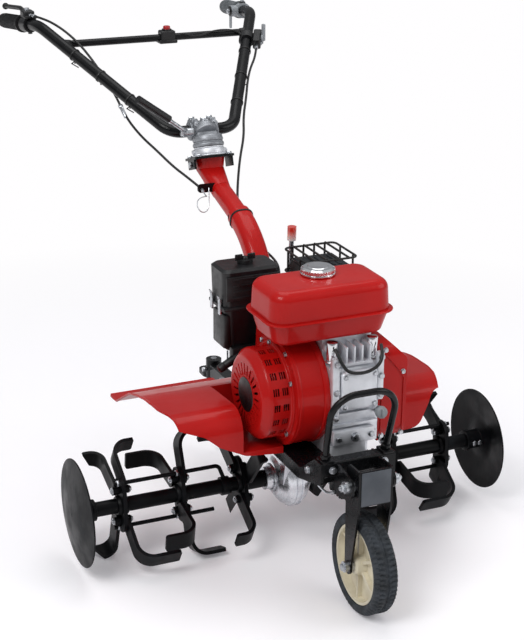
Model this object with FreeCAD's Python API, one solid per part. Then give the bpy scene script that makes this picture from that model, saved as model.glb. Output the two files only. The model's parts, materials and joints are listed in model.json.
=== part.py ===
import FreeCAD, Part
import math
import os

V = FreeCAD.Vector

# Petrol rotary tiller with tines under the engine and a folding front travel wheel.
# Millimetres. X runs across the machine, the handlebar is at +Y, Z is up.
# Everything is drawn from the middle of the tine axle, on the floor below it,
# and is moved by ROW_Y when it is written, so that zero is the middle of the whole machine.
ROW_Y = -277.5

# Tine rotor
TINE_REACH = 124.0
SWEEP_OVER = 2.8
AXLE_Z = TINE_REACH
SHAFT_R = 13.0
RUNNING_GAP = 0.05
SEAT_GAP = 0.1
SLEEVE_R = 17.0
TUBE_R = 14.5
SLEEVE_START = 55.0
SLEEVE_STOP = 92.0
SHAFT_HALF = 128.0
DISC_X = 450.0
DISC_ROOM = 100.0
SET_X = {"inner": 103.0, "middle": 230.0, "outer": DISC_X - DISC_ROOM}
PLATE_TURN = {"inner": 30.0, "middle": 14.0, "outer": 5.0}
# Blades of each set: degrees from straight down towards the front, side that the foot turns to
# (-1 inboard), foot length, how far the leg is set off from the axle, and whether the tip is cut
BLADES = {
    "inner": [
        (62, 1, 50, 14, False), (-40, -1, 21, 0, True),
        (242, 1, 50, 14, False), (140, -1, 21, 0, True),
    ],
    "middle": [
        (19, -1, 75, 0, False), (203, -1, 62, 6, False),
        (80, 1, 72, 16, False), (262, 1, 72, 16, False),
    ],
    "outer": [
        (57, -1, 88, 26, False), (237, -1, 52, 26, False),
        (-19, 1, 46, 0, True), (250, 1, 46, 18, True),
    ],
}
BLADE_THICK = 7.0
BLADE_WIDTH = 34.0
BLADE_ROOT = 20.0
BLADE_BEND = 27.0
TIP_CUT = 17.0
PLATE_LENGTH = 108.0
PLATE_WIDTH = 52.0
PLATE_THICK = 8.0
PLATE_BOLT = 31.0
BOLT_HEAD_R = 8.0
TIE_ROD_R = 4.0
TIE_ROD_OUT = 46.0
TIE_ROD_START = 150.0
DISC_R = 105.0
DISC_DISH = 12.0
DISC_THICK = 3.0
DISC_SOCKET = 38.0

# Front travel wheel and its folding fork
WHEEL_R = 95.0
WHEEL_WIDTH = 46.0
WHEEL_Y = -335.0
RIM_R = 75.0
HUB_R = 18.0
HUB_HALF = 24.0
WHEEL_PIN_R = 6.0
RIM_SPOKES = 6
FOLD_Y = -348.0
FOLD_Z = 262.0
FOLD_PIN_R = 6.0
FORK_INSIDE = 30.0
FORK_WALL = 4.0
FORK_FRONT_Y = -370.0
FORK_TOP_Z = 297.0
FORK_WEB_BOTTOM = 228.0
FORK_TIP_HALF = 12.0

# Main frame
BED_HALF = 75.0
BED_TOP = 247.0
BED_THICK = 6.0
BED_REAR = 150.0
SIDE_WALL = 5.0
SIDE_BOTTOM = 222.0
BAR_FRONT = -302.0
BAR_REAR = -274.0
BAR_TOP = 290.0
BAR_BOTTOM = 262.0
EAR_GAP = 5.0
EAR_WALL = 5.0
QUADRANT_NOTCHES = 5
GUARD_TUBE_R = 6.2
GUARD_HALF = 66.0
GUARD_FOOT_HALF = 60.0
GUARD_TOP = 425.0
GUARD_LEAN = 34.0

# Gear case
CASE_HALF = 37.0
CASE_R = 62.0
CASE_NECK_HALF = 30.0
CASE_RIDGES = (-5.5, 5.5)
CASE_BOSS_R = 23.0
CASE_BOSS_END = 54.0

# Engine
CRANK_Y = -96.0
CRANK_Z = 356.0
BLOCK_LEFT = -8.0
BLOCK_RIGHT = 92.0
BLOCK_FRONT = -203.0
BLOCK_REAR = 0.0
BLOCK_TOP = 472.0
SHELF_Z = 425.0
SHELF_Y = -160.0
TANK_BOSS_R = 11.0
TANK_BOSS_X = (2.0, 84.0)
BASE_HEIGHT = 24.0
BLOCK_RIBS = 5
FIN_COUNT = 8
FAN_FACE = -74.0
FAN_R = 105.0
RECOIL_R = 87.0
RECOIL_DEPTH = 59.0
RECOIL_WALL = 3.0
RECOIL_SLOTS = 24
RECOIL_SLOT_RING = (37.0, 60.0)
RECOIL_VENTS = 18
TANK_X = (-123.0, 128.0)
TANK_Y = (-196.0, -52.0)
TANK_SEAM_Z = 518.0
TANK_TOP_Z = 577.0
TANK_BOTTOM_Z = 474.0
TANK_CORNER = 34.0
TANK_SHOULDER = 20.0
TANK_SOLE = 10.0
CAP_X = 6.0
CAP_Y = -106.0
CAP_R = 31.0
CLEANER_X = (-130.0, -12.0)
CLEANER_Y = (16.0, 93.0)
CLEANER_TOP = 560.0
MUFFLER_X = (38.0, 134.0)
MUFFLER_Y = (6.0, 84.0)
MUFFLER_Z = (462.0, 544.0)
GUARD_WIRE_R = 2.2
COVER_X = (98.0, 157.0)
COVER_TOP = 468.0
COVER_SLOPE = 50.0
COVER_REAR = 88.0
COVER_GAP = 0.9

# Fenders: profile as (y, z) from the rear edge over the hump to the front, then the skirt
FENDER_THICK = 2.0
FENDER_TOP = [(214.0, 262.0), (168.0, 266.0), (92.0, 312.0), (21.0, 330.0), (-140.0, 342.0)]
FENDER_BENDS = [0.0, 14.0, 90.0, 300.0, 46.0]
SKIRT_FRONT = -140.0
SKIRT_BOTTOM = 244.0
FLOOR_Z = 258.3
HUMP_TOP = 350.0
HUMP_LEFT = 156.0
NOTCH_LEFT = 26.0
NOTCH_RIGHT = 98.0
LEFT_EDGE = [(300.0, 214.0), (301.0, 150.0), (297.0, 60.0), (294.0, -60.0), (276.0, -145.0)]
RIGHT_EDGE = [(290.0, 214.0), (291.0, 150.0), (284.0, 60.0), (276.0, -60.0), (256.0, -145.0)]
LEFT_SKIRT = [(75.0, 244.0), (100.0, 246.0), (150.0, 251.0), (203.0, 277.0), (232.0, 302.0), (296.0, 326.0)]
RIGHT_SKIRT = [(75.0, 244.0), (165.0, 245.0), (214.0, 248.0), (232.0, 290.0), (242.0, 316.0), (296.0, 326.0)]

# Handle column and head
COLUMN_BASE_Y = 118.0
COLUMN_BEND = (118.0, 552.0)
COLUMN_NECK = 36.0
COLUMN_BEND_R = 190.0
COLUMN_KNEE_R = 26.0
COLUMN_HALF = (19.0, 19.0)
COLUMN_WALL = 2.5
COLUMN_BACK = 8.0
COLLAR_RUN = 62.0
SLEEVE_HALF = (23.0, 22.0)
SLEEVE_END = 250.0
HEAD_Y = 409.0
HEAD_Z = 673.0
HEAD_TILT = 17.5
HEAD_R = 33.0
HEAD_PIN_R = 9.0

# Handlebar
BAR_R = 12.5
BAR_LOW = V(71, HEAD_Y + 44, HEAD_Z + 51)
BAR_ARM = V(252, HEAD_Y + 372, HEAD_Z + 233)
BAR_END = V(275, HEAD_Y + 576, HEAD_Z + 215)
BAR_LOW_BEND = 45.0
BAR_ARM_BEND = 60.0
CROSS_AT = 0.82
CROSS_R = 8.0
CROSS_WALL = 2.0
GRIP_R = 16.0
GRIP_LENGTH = 116.0

# Controls and cables
CABLE_R = 2.6
CABLE_REACH = 0.45
CLUTCH_ROUTE = [
    V(-258, 831.7, 921),
    V(-256, 796, 926),
    V(-224, 752, 914),
    V(-190, 704, 882),
    V(-164, 662, 838),
    V(-140, 616, 786),
    V(-130, 566, 738),
    V(-116, 514, 708),
    V(-98, 464, 686),
    V(-78, 420, 660),
    V(-60, 384, 644),
    V(-44, 352.3, 628),
]
THROTTLE_ROUTE = [
    V(219, 671, 851),
    V(202, 637, 833),
    V(177, 608, 814),
    V(154, 570, 794),
    V(131, 523, 769),
    V(106, 480, 738),
    V(88, 434, 706),
    V(62, 396, 668),
    V(37, 350, 614),
    V(18, 300, 583),
    V(18, 250, 557),
    V(27, 205, 534),
    V(33, 165, 528),
    V(33, 124, 518),
    V(18, 92, 492),
    V(5, 66.3, 461),
]
CLAMP_WALL = 5.0
BOX_AT = 0.755
BOX_SIZE = (44.0, 18.0, 26.0)
BOX_OUT = 24.0
SWITCH_X = (6.0, 40.0)
BRACKET_WALL = 4.0
CABLE_SEAT = 2.0

# Drag bar at the rear
HITCH_Y = 394.0
HITCH_Z = 205.0
DRAG_R = 6.5
ARM_WALL = 2.0
DRAG_TOP = 229.0
DRAG_BOTTOM = 26.0


def to_world(plane, a, b, c):
    """Point (a, b) of a drawing plane, at depth c along the axis that the plane faces."""
    if plane == "yz":
        return V(c, a, b)
    if plane == "xz":
        return V(a, c, b)
    return V(a, b, c)


def corner_wire(points, radius, closed=False):
    """Straight runs between the points, with a tangent arc of the given radius at each corner."""
    count = len(points)
    radii = radius if isinstance(radius, (list, tuple)) else [radius] * count
    ends = []
    for i, point in enumerate(points):
        is_end = not closed and i in (0, count - 1)
        if is_end or radii[i] <= 0:
            ends.append((point, None, point))
            continue
        back = (points[i - 1] - point).normalize()
        ahead = (points[(i + 1) % count] - point).normalize()
        half = back.getAngle(ahead) / 2
        reach = radii[i] / math.tan(half)
        middle = (back + ahead).normalize() * (radii[i] / math.sin(half) - radii[i])
        ends.append((point + back * reach, point + middle, point + ahead * reach))
    edges = []
    for i, (start, middle, end) in enumerate(ends):
        if middle is not None:
            edges.append(Part.Arc(start, middle, end).toShape())
        if i == count - 1 and not closed:
            continue
        following = ends[(i + 1) % count][0]
        if (following - end).Length > 1e-4:
            edges.append(Part.LineSegment(end, following).toShape())
    return Part.Wire(edges)


def tube(points, radius, bend):
    """Round bar or hose along straight runs joined by tangent arcs."""
    path = corner_wire(points, bend)
    ring = Part.Wire([Part.makeCircle(radius, points[0], points[1] - points[0])])
    return path.makePipeShell([ring], True, False)


def rod(start, end, radius):
    return Part.makeCylinder(radius, (end - start).Length, start, end - start)


def block(x, y, z):
    return Part.makeBox(x[1] - x[0], y[1] - y[0], z[1] - z[0], V(x[0], y[0], z[0]))


def slab(plane, outline, low, high, radius=0.0):
    """Flat outline with rounded corners, drawn in a plane and pushed from low to high."""
    points = [to_world(plane, a, b, low) for a, b in outline]
    face = Part.Face(corner_wire(points, radius, closed=True))
    return face.extrude(to_world(plane, 0, 0, high - low))


def rectangle(a, b, grow=0.0):
    return [
        (a[0] - grow, b[0] - grow),
        (a[1] + grow, b[0] - grow),
        (a[1] + grow, b[1] + grow),
        (a[0] - grow, b[1] + grow),
    ]


def disc(x, y, z, radius):
    """Cylinder that lies along X, from x[0] to x[1]."""
    return Part.makeCylinder(radius, x[1] - x[0], V(x[0], y, z), V(1, 0, 0))


def turned(outline, y, z, bends=0.0):
    """Outline of (x, radius) points, its corners rounded, turned about the X line through y and z."""
    points = [V(x, y, z + r) for x, r in outline]
    face = Part.Face(corner_wire(points, bends, closed=True))
    return face.revolve(V(0, y, z), V(1, 0, 0), 360)


def skin(sections):
    """Solid through closed outlines."""
    return Part.makeLoft(sections, True, True)


def joined(shapes):
    whole = shapes[0].multiFuse(shapes[1:]) if len(shapes) > 1 else shapes[0]
    return whole.removeSplitter()


def mirrored(shape):
    return shape.mirror(V(0, 0, 0), V(1, 0, 0))


def along(start, end, share):
    return start + (end - start) * share


# ---------------------------------------------------------------- rotor


def tine_blade(way, foot, offset, is_cut, reach):
    """Strip that runs down from the plate and bends round into a flat foot (way 1 outboard)."""
    near = PLATE_THICK / 2
    far = near + BLADE_THICK
    bend = min(BLADE_BEND, (foot - far) * 0.6)
    bent = [
        (near * way, -BLADE_ROOT),
        (far * way, -BLADE_ROOT),
        (far * way, BLADE_THICK - reach),
        (foot * way, BLADE_THICK - reach),
        (foot * way, -reach),
        (near * way, -reach),
    ]
    low = offset - BLADE_WIDTH / 2
    high = offset + BLADE_WIDTH / 2
    strip = slab("xz", bent, low - 2, high + 2, [0, 0, bend, 0, 0, bend + BLADE_THICK])
    side = rectangle((low, high), (-reach - 20, -BLADE_ROOT + 1))
    leg = slab("yz", side, -foot - 2, foot + 2, [0, 0, 13, 13])
    plan = [
        (-2 * way, low),
        ((foot - (TIP_CUT if is_cut else 0)) * way, low),
        (foot * way, high),
        (-2 * way, high),
    ]
    sole = slab("xy", plan, -reach - 2, -BLADE_ROOT + 2, [0, 5, 3, 0])
    return strip.common(leg).common(sole)


def blade_reach(angle, offset):
    """Distance from the axle to the foot: no corner passes the rotor's reach, none the floor."""
    edge = abs(offset) + BLADE_WIDTH / 2
    swept = math.sqrt((TINE_REACH + SWEEP_OVER) ** 2 - edge ** 2)
    turn = math.radians(angle)
    ahead = offset + math.copysign(BLADE_WIDTH / 2, math.sin(turn))
    if math.cos(turn) <= 0:
        return swept
    return min(swept, (TINE_REACH - math.sin(turn) * ahead) / math.cos(turn))


def tine_set(name):
    """Plate with rounded ends, its bolts, and four blades on its two faces."""
    half = PLATE_THICK / 2
    shape = rectangle((-PLATE_WIDTH / 2, PLATE_WIDTH / 2), (-PLATE_LENGTH / 2, PLATE_LENGTH / 2))
    pieces = [slab("yz", shape, -half, half, PLATE_WIDTH / 2 - 1)]
    for end in (-1, 1):
        head = half + BLADE_THICK + 5
        pieces.append(disc((-head, head), 0, end * PLATE_BOLT, BOLT_HEAD_R))
    pieces[0].rotate(V(0, 0, 0), V(1, 0, 0), -PLATE_TURN[name])
    for bolt in pieces[1:]:
        bolt.rotate(V(0, 0, 0), V(1, 0, 0), -PLATE_TURN[name])
    for angle, way, foot, offset, is_cut in BLADES[name]:
        blade = tine_blade(way, foot, offset, is_cut, blade_reach(angle, offset))
        blade.rotate(V(0, 0, 0), V(1, 0, 0), -angle)
        pieces.append(blade)
    whole = joined(pieces).cut(disc((-40, 40), 0, 0, TUBE_R + SEAT_GAP))
    if name != "inner":
        for side in (-1, 1):
            whole = whole.cut(disc((-40, 40), 0, side * TIE_ROD_OUT, TIE_ROD_R + SEAT_GAP))
    whole.translate(V(SET_X[name], 0, AXLE_Z))
    return whole


def tine_tube():
    """Sleeve next to the gear case and the tube that carries the flanges, bored for the shaft."""
    end = DISC_X - DISC_THICK - 10.1
    outline = [
        (SLEEVE_START, SHAFT_R + SEAT_GAP),
        (SLEEVE_START, SLEEVE_R),
        (SLEEVE_STOP, SLEEVE_R),
        (SLEEVE_STOP, TUBE_R),
        (end, TUBE_R),
        (end, 11.0),
        (SHAFT_HALF + 0.5, 11.0),
        (SHAFT_HALF + 0.5, SHAFT_R + SEAT_GAP),
    ]
    return turned(outline, 0, AXLE_Z)


def side_disc():
    """Thin disc that bulges outward, with a conical band inside and a socket on the tine tube."""
    back = DISC_X - DISC_THICK
    outside = TUBE_R + 5
    outline = [
        (DISC_X, 0),
        (DISC_X - DISC_DISH * 0.1, DISC_R * 0.42),
        (DISC_X - DISC_DISH, DISC_R),
        (back - DISC_DISH, DISC_R),
        (back - DISC_DISH * 0.1 - 1.5, outside + 24),
        (back - 9, outside),
        (DISC_X - DISC_SOCKET, outside),
        (DISC_X - DISC_SOCKET, TUBE_R + SEAT_GAP),
        (back - 10, TUBE_R + SEAT_GAP),
        (back - 10, 0),
    ]
    return turned(outline, 0, AXLE_Z, [0, 260, 0.8, 0.8, 30, 3, 0, 0, 0, 0])


def tie_rods():
    """Two rods through the plates of one side; the upper one ends in a bend down to the tube."""
    end = SET_X["outer"] + 16
    high = AXLE_Z + TIE_ROD_OUT
    tube_top = AXLE_Z + TUBE_R + SEAT_GAP
    upper = tube([V(TIE_ROD_START - 12, 0, tube_top), V(TIE_ROD_START, 0, high), V(end, 0, high)],
                 TIE_ROD_R, [0, 12, 0])
    upper = upper.cut(disc((0, end), 0, AXLE_Z, TUBE_R + SEAT_GAP))
    lower = disc((TIE_ROD_START + 10, end), 0, AXLE_Z - TIE_ROD_OUT, TIE_ROD_R)
    return Part.makeCompound([upper, lower])


# ---------------------------------------------------------- front wheel


def wheel_tyre():
    half = WHEEL_WIDTH / 2
    outline = [
        (-half + 6, RIM_R),
        (-half, RIM_R + 6),
        (-half, WHEEL_R - 9),
        (-half + 3, WHEEL_R - 3),
        (-half + 8, WHEEL_R),
        (half - 8, WHEEL_R),
        (half - 3, WHEEL_R - 3),
        (half, WHEEL_R - 9),
        (half, RIM_R + 6),
        (half - 6, RIM_R),
    ]
    return turned(outline, WHEEL_Y, WHEEL_R)


def wheel_rim():
    """Moulded rim: hub, web and ring in one turned piece, with ribs on both faces."""
    half = WHEEL_WIDTH / 2 - 4
    outline = [
        (-HUB_HALF, WHEEL_PIN_R + RUNNING_GAP),
        (-HUB_HALF, HUB_R - 3),
        (-HUB_HALF + 3, HUB_R),
        (-4, HUB_R + 4),
        (-4, RIM_R - 7),
        (-half, RIM_R - 5),
        (-half, RIM_R),
        (half, RIM_R),
        (half, RIM_R - 5),
        (4, RIM_R - 7),
        (4, HUB_R + 4),
        (HUB_HALF - 3, HUB_R),
        (HUB_HALF, HUB_R - 3),
        (HUB_HALF, WHEEL_PIN_R + RUNNING_GAP),
    ]
    pieces = [turned(outline, WHEEL_Y, WHEEL_R)]
    for i in range(RIM_SPOKES):
        rib = block((-half + 6, half - 6), (-3, 3), (HUB_R - 1, RIM_R - 5.5))
        rib.rotate(V(0, 0, 0), V(1, 0, 0), i * 360 / RIM_SPOKES)
        rib.translate(V(0, WHEEL_Y, WHEEL_R))
        pieces.append(rib)
    return joined(pieces)


def wheel_pin():
    """Wheel bolt with a head, a nut and the spacers between the hub and the fork."""
    outside = FORK_INSIDE + FORK_WALL
    pieces = [disc((-outside - 8, outside + 10), WHEEL_Y, WHEEL_R, WHEEL_PIN_R)]
    for side in (-1, 1):
        spacer = sorted((side * (HUB_HALF + 0.3), side * FORK_INSIDE))
        head = sorted((side * outside, side * (outside + 8)))
        pieces.append(disc(spacer, WHEEL_Y, WHEEL_R, WHEEL_PIN_R + 4))
        pieces.append(disc(head, WHEEL_Y, WHEEL_R, WHEEL_PIN_R + 4.5))
    return joined(pieces)


def wheel_fork():
    """Pressed channel: a front web and two long legs that taper down to the wheel bolt."""
    outside = FORK_INSIDE + FORK_WALL
    leg = [
        (FORK_FRONT_Y, FORK_TOP_Z),
        (FOLD_Y + 24, FORK_TOP_Z),
        (FOLD_Y + 28, FOLD_Z - 14),
        (WHEEL_Y + FORK_TIP_HALF, WHEEL_R + 10),
        (WHEEL_Y + FORK_TIP_HALF, WHEEL_R - FORK_TIP_HALF - 3),
        (WHEEL_Y - FORK_TIP_HALF, WHEEL_R - FORK_TIP_HALF - 3),
        (WHEEL_Y - FORK_TIP_HALF, WHEEL_R + 10),
        (FORK_FRONT_Y, FORK_WEB_BOTTOM - 10),
    ]
    bend = [4, 12, 10, 20, 11, 11, 20, 8]
    pieces = []
    for side in (-1, 1):
        low, high = sorted((side * FORK_INSIDE, side * outside))
        pieces.append(slab("yz", leg, low, high, bend))
    web = rectangle((-outside, outside), (FORK_WEB_BOTTOM, FORK_TOP_Z))
    pieces.append(slab("xz", web, FORK_FRONT_Y, FORK_FRONT_Y + FORK_WALL, 4))
    whole = joined(pieces)
    whole = whole.cut(disc((-50, 50), WHEEL_Y, WHEEL_R, WHEEL_PIN_R))
    return whole.cut(disc((-50, 50), FOLD_Y, FOLD_Z, FOLD_PIN_R + RUNNING_GAP))


def fold_pin():
    """Bolt that the fork folds about, with a collar between each ear and the fork."""
    ear_in = FORK_INSIDE + FORK_WALL + EAR_GAP
    ear_out = ear_in + EAR_WALL
    pieces = [disc((-ear_out - 8, ear_out + 12), FOLD_Y, FOLD_Z, FOLD_PIN_R)]
    for side in (-1, 1):
        collar = sorted((side * (ear_in - EAR_GAP + 0.3), side * ear_in))
        head = sorted((side * ear_out, side * (ear_out + 8)))
        pieces.append(disc(collar, FOLD_Y, FOLD_Z, FOLD_PIN_R + 4))
        pieces.append(disc(head, FOLD_Y, FOLD_Z, FOLD_PIN_R + 5))
    return joined(pieces)


# ------------------------------------------------------------ structure


def main_frame():
    """Engine bed with side plates, a front cross bar and the two ears that hold the fork."""
    low = BED_TOP - BED_THICK
    pieces = [block((-BED_HALF, BED_HALF), (BAR_REAR, BED_REAR), (low, BED_TOP))]
    side = [
        (BAR_FRONT, BAR_TOP),
        (BAR_REAR, BAR_TOP),
        (BLOCK_FRONT - 14, BED_TOP),
        (BED_REAR, BED_TOP),
        (BED_REAR, SIDE_BOTTOM + 8),
        (90, SIDE_BOTTOM),
        (BLOCK_FRONT, SIDE_BOTTOM),
        (BAR_FRONT, BAR_BOTTOM - 14),
    ]
    for way in (-1, 1):
        edge = sorted((way * (BED_HALF - SIDE_WALL), way * BED_HALF))
        pieces.append(slab("yz", side, edge[0], edge[1], [4, 10, 20, 4, 8, 30, 30, 8]))
    bar = rectangle((BAR_FRONT, BAR_REAR), (BAR_BOTTOM, BAR_TOP))
    pieces.append(slab("yz", bar, -BED_HALF, BED_HALF, 4))
    pieces.append(block((-BED_HALF, BED_HALF), (BAR_REAR - 6, BAR_REAR), (low, BAR_BOTTOM + 4)))
    for way in (-1, 1):
        pieces.append(fork_ear(way))
    whole = joined(pieces)
    return whole.cut(disc((-60, 60), FOLD_Y, FOLD_Z, FOLD_PIN_R))


def fork_ear(way):
    """Side ear at the fold pin. The left one reaches lower and is notched for the fork's lock."""
    start = FORK_INSIDE + FORK_WALL + EAR_GAP
    low, high = sorted((way * start, way * (start + EAR_WALL)))
    drop = BAR_BOTTOM - 38 if way < 0 else BAR_BOTTOM - 8
    outline = [
        (FOLD_Y - 16, FOLD_Z + 16),
        (BAR_REAR, BAR_TOP),
        (BAR_REAR, drop),
        (FOLD_Y + 30, drop),
        (FOLD_Y - 16, FOLD_Z - 16),
    ]
    ear = slab("yz", outline, low, high, [14, 0, 6, 14, 14])
    if way > 0:
        return ear
    for i in range(QUADRANT_NOTCHES):
        notch_y = BAR_REAR - 8 - i * 9
        ear = ear.cut(disc((low - 1, high + 1), notch_y, drop, 3.0))
    return ear


def front_guard():
    """Bent tube that protects the front of the engine, leaning forward."""
    foot_y = (BAR_FRONT + BAR_REAR) / 2
    top_y = foot_y - GUARD_LEAN
    route = [
        V(-GUARD_FOOT_HALF, foot_y, BAR_TOP),
        V(-GUARD_FOOT_HALF - 2, foot_y - 8, BAR_TOP + 34),
        V(-GUARD_HALF, top_y, GUARD_TOP),
        V(GUARD_HALF, top_y, GUARD_TOP),
        V(GUARD_FOOT_HALF + 2, foot_y - 8, BAR_TOP + 34),
        V(GUARD_FOOT_HALF, foot_y, BAR_TOP),
    ]
    loop = tube(route, GUARD_TUBE_R, [0, 40, 46, 46, 40, 0])
    return loop.cut(block((-90, 90), (-400, -200), (BAR_TOP - 20, BAR_TOP)))


def gear_case():
    """Cast case: a domed drum round the tine shaft, split by ridges, under a neck to the bed."""
    top = BED_TOP - BED_THICK
    dome = [
        (-CASE_HALF, 1),
        (-CASE_HALF, CASE_R * 0.52),
        (-CASE_HALF * 0.55, CASE_R * 0.9),
        (-8, CASE_R),
        (8, CASE_R),
        (CASE_HALF * 0.55, CASE_R * 0.9),
        (CASE_HALF, CASE_R * 0.52),
        (CASE_HALF, 1),
    ]
    drum = turned(dome, 0, AXLE_Z, [0, 14, 20, 4, 4, 20, 14, 0])
    neck = [
        (-66, top),
        (76, top),
        (76, top - 16),
        (52, AXLE_Z + 40),
        (44, AXLE_Z),
        (-44, AXLE_Z),
        (-50, AXLE_Z + 40),
        (-66, top - 16),
    ]
    pieces = [drum, slab("yz", neck, -CASE_NECK_HALF, CASE_NECK_HALF, [4, 4, 10, 40, 0, 0, 40, 10])]
    for x in CASE_RIDGES:
        pieces.append(disc((x - 1.5, x + 1.5), 0, AXLE_Z, CASE_R + 2.5))
    foot = rectangle((-70, 78), (top - 12, top))
    pieces.append(slab("yz", foot, -CASE_HALF, CASE_HALF, 3))
    pieces.append(disc((-CASE_BOSS_END, CASE_BOSS_END), 0, AXLE_Z, CASE_BOSS_R))
    whole = joined(pieces)
    return whole.cut(disc((-80, 80), 0, AXLE_Z, SHAFT_R + RUNNING_GAP))


def handle_column():
    """Bent steel tube, open at its foot, and the wider sleeve round it that runs up past the bend."""
    axis = tilt_axis()
    top = V(0, HEAD_Y, HEAD_Z) + V(0, axis.z, -axis.y) * COLUMN_BACK
    foot = V(0, COLUMN_BASE_Y, BED_TOP)
    corner = V(0, COLUMN_BEND[0], COLUMN_BEND[1])
    knee = top - axis * COLUMN_NECK
    slope = (corner - knee).normalize()
    sleeve_end = along(knee, corner, (knee.y - SLEEVE_END) / (knee.y - corner.y))
    tube_path = corner_wire([foot, corner, knee, top], [0, COLUMN_BEND_R, COLUMN_KNEE_R, 0])
    sleeve_path = corner_wire([foot, corner, sleeve_end], [0, COLUMN_BEND_R, 0])
    upright = V(0, 0, 1)
    half_x, half_y = SLEEVE_HALF
    sleeve = sleeve_path.makePipeShell([section(foot, upright, half_x, half_y)], True, False)
    half_x, half_y = COLUMN_HALF
    outside = tube_path.makePipeShell([section(foot, upright, half_x, half_y)], True, False)
    inside = [section(foot, upright, half_x - COLUMN_WALL, half_y - COLUMN_WALL)]
    hollow = tube_path.makePipeShell(inside, True, False)
    collar = skin([
        section(knee + slope * COLLAR_RUN, slope * -1, half_x + 0.5, half_y + 0.5),
        section(top - axis * 20, axis, half_x + 9, half_y + 6),
        section(top, axis, half_x + 13, half_y + 10),
    ])
    return joined([outside, collar]).cut(hollow), sleeve.cut(outside)


def tilt_axis():
    lean = math.radians(HEAD_TILT)
    return V(0, math.sin(lean), math.cos(lean))


def section(centre, normal, half_x, half_y):
    """Rounded rectangle that stands square to the normal, which lies in the machine's mid-plane."""
    ahead = V(1, 0, 0).cross(normal).normalize() * -1
    corners = []
    for a, b in ((-1, -1), (1, -1), (1, 1), (-1, 1)):
        corners.append(centre + V(half_x * a, 0, 0) + ahead * (half_y * b))
    return corner_wire(corners, min(half_x, half_y) * 0.8, closed=True)


def on_head(shape):
    """Places a shape that was drawn upright round the Z axis onto the tilted head."""
    shape.rotate(V(0, 0, 0), V(1, 0, 0), -HEAD_TILT)
    shape.translate(V(0, HEAD_Y, HEAD_Z))
    return shape


def column_plate():
    """Steel plate on top of the column with two ears bent down."""
    plate = slab("xy", rectangle((-44, 44), (-38, 40)), 0, 5, 12)
    ears = []
    for way in (-1, 1):
        edge = sorted((way * 39.5, way * 44))
        ears.append(block(edge, (-20, 16), (-20, 2)))
    return on_head(joined([plate] + ears))


def lower_head():
    """Cast ring that is bolted to the plate and carries the swivel pin."""
    ring = Part.makeCylinder(HEAD_R, 20, V(0, 0, 5))
    pin = Part.makeCylinder(HEAD_PIN_R, 66, V(0, 0, 5))
    return on_head(joined([ring, pin]))


def upper_head():
    """Cast swivel ring with the saddle that clamps the handlebar."""
    ring = Part.makeCylinder(HEAD_R, 22, V(0, 0, 25.3))
    saddle = slab("yz", [(-26, 44), (46, 44), (46, 66), (40, 80), (14, 80), (-26, 60)], -34, 34, 6)
    whole = joined([ring, saddle])
    whole = whole.cut(Part.makeCylinder(HEAD_PIN_R + RUNNING_GAP, 90, V(0, 0, 0)))
    whole = on_head(whole)
    return whole.cut(disc((-60, 60), BAR_LOW.y, BAR_LOW.z, BAR_R + SEAT_GAP))


def handlebar():
    """One bent tube: grip, arm, lower run through the head, arm, grip."""
    right = [BAR_LOW, BAR_ARM, BAR_END]
    left = [V(-p.x, p.y, p.z) for p in reversed(right)]
    bends = [0, BAR_ARM_BEND, BAR_LOW_BEND, BAR_LOW_BEND, BAR_ARM_BEND, 0]
    return tube(left + right, BAR_R, bends)


def cross_tube(frame_tube):
    """Hollow tube between the arms, its ends cut to the arms' round."""
    at = along(BAR_LOW, BAR_ARM, CROSS_AT)
    start = V(-at.x, at.y, at.z)
    bar = rod(start, at, CROSS_R).cut(rod(start, at, CROSS_R - CROSS_WALL))
    return max(bar.cut(frame_tube).Solids, key=lambda s: s.Volume)


def grip():
    """Moulded grip with a closed end and a collar."""
    way = (BAR_END - BAR_ARM).normalize()
    start = BAR_END - way * GRIP_LENGTH
    body = rod(start, BAR_END + way * 4, GRIP_R)
    collar = rod(start, start + way * 6, GRIP_R + 4)
    hole = rod(start - way * 5, BAR_END, BAR_R + SEAT_GAP)
    return joined([body, collar]).cut(hole)


def lock_lever():
    """Lever that releases the swivel: a bent rod with a grip, on the left of the head."""
    hub = V(-42, HEAD_Y + 12, HEAD_Z + 57)
    base = disc((-54, -34.1), hub.y, hub.z, 9)
    end = V(-158, 388, 812)
    arm = tube([hub, V(-60, 412, 740), end], 4.5, 60)
    hand = rod(along(hub, end, 0.42), end + (end - hub).normalize() * 8, 8)
    hand = hand.cut(arm)
    return joined([base, arm]), hand


def cable(route):
    """Held control cable: each arc as large as its two runs allow."""
    bends = [0]
    for before, point, after in zip(route, route[1:], route[2:]):
        turn = (point - before).getAngle(after - point)
        shorter = min((point - before).Length, (after - point).Length)
        bends.append(CABLE_REACH * shorter / math.tan(turn / 2))
    bends.append(0)
    print("smallest bend of the cable", round(min(bends[1:-1])))
    return tube(route, CABLE_R, bends)


def bar_clamp(start, end):
    """Split clamp round the handlebar tube."""
    ring = rod(start, end, BAR_R + CLAMP_WALL)
    reach = (end - start).normalize() * 2
    return ring.cut(rod(start - reach, end + reach, BAR_R + SEAT_GAP))


def clutch_lever():
    """Clutch hand lever with its housing, for the right side; it is mirrored to the left."""
    way = (BAR_END - BAR_ARM).normalize()
    start = BAR_END - way * (GRIP_LENGTH + 42)
    ring = bar_clamp(start, start + way * 30)
    top = BAR_ARM + V(7, 65, 10)
    housing = block((top.x - 13, top.x + 13), (top.y - 14, top.y + 16), (top.z - 2, top.z + 15))
    housing = housing.makeFillet(4, housing.Edges)
    end = top + V(17, 122, 7)
    arm = tube([top + V(0, 4, 7), top + V(6, 36, 15), end], 5, [0, 16, 0])
    tip = Part.makeSphere(7.5, end)
    return joined([ring, housing, arm, tip])


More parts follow.
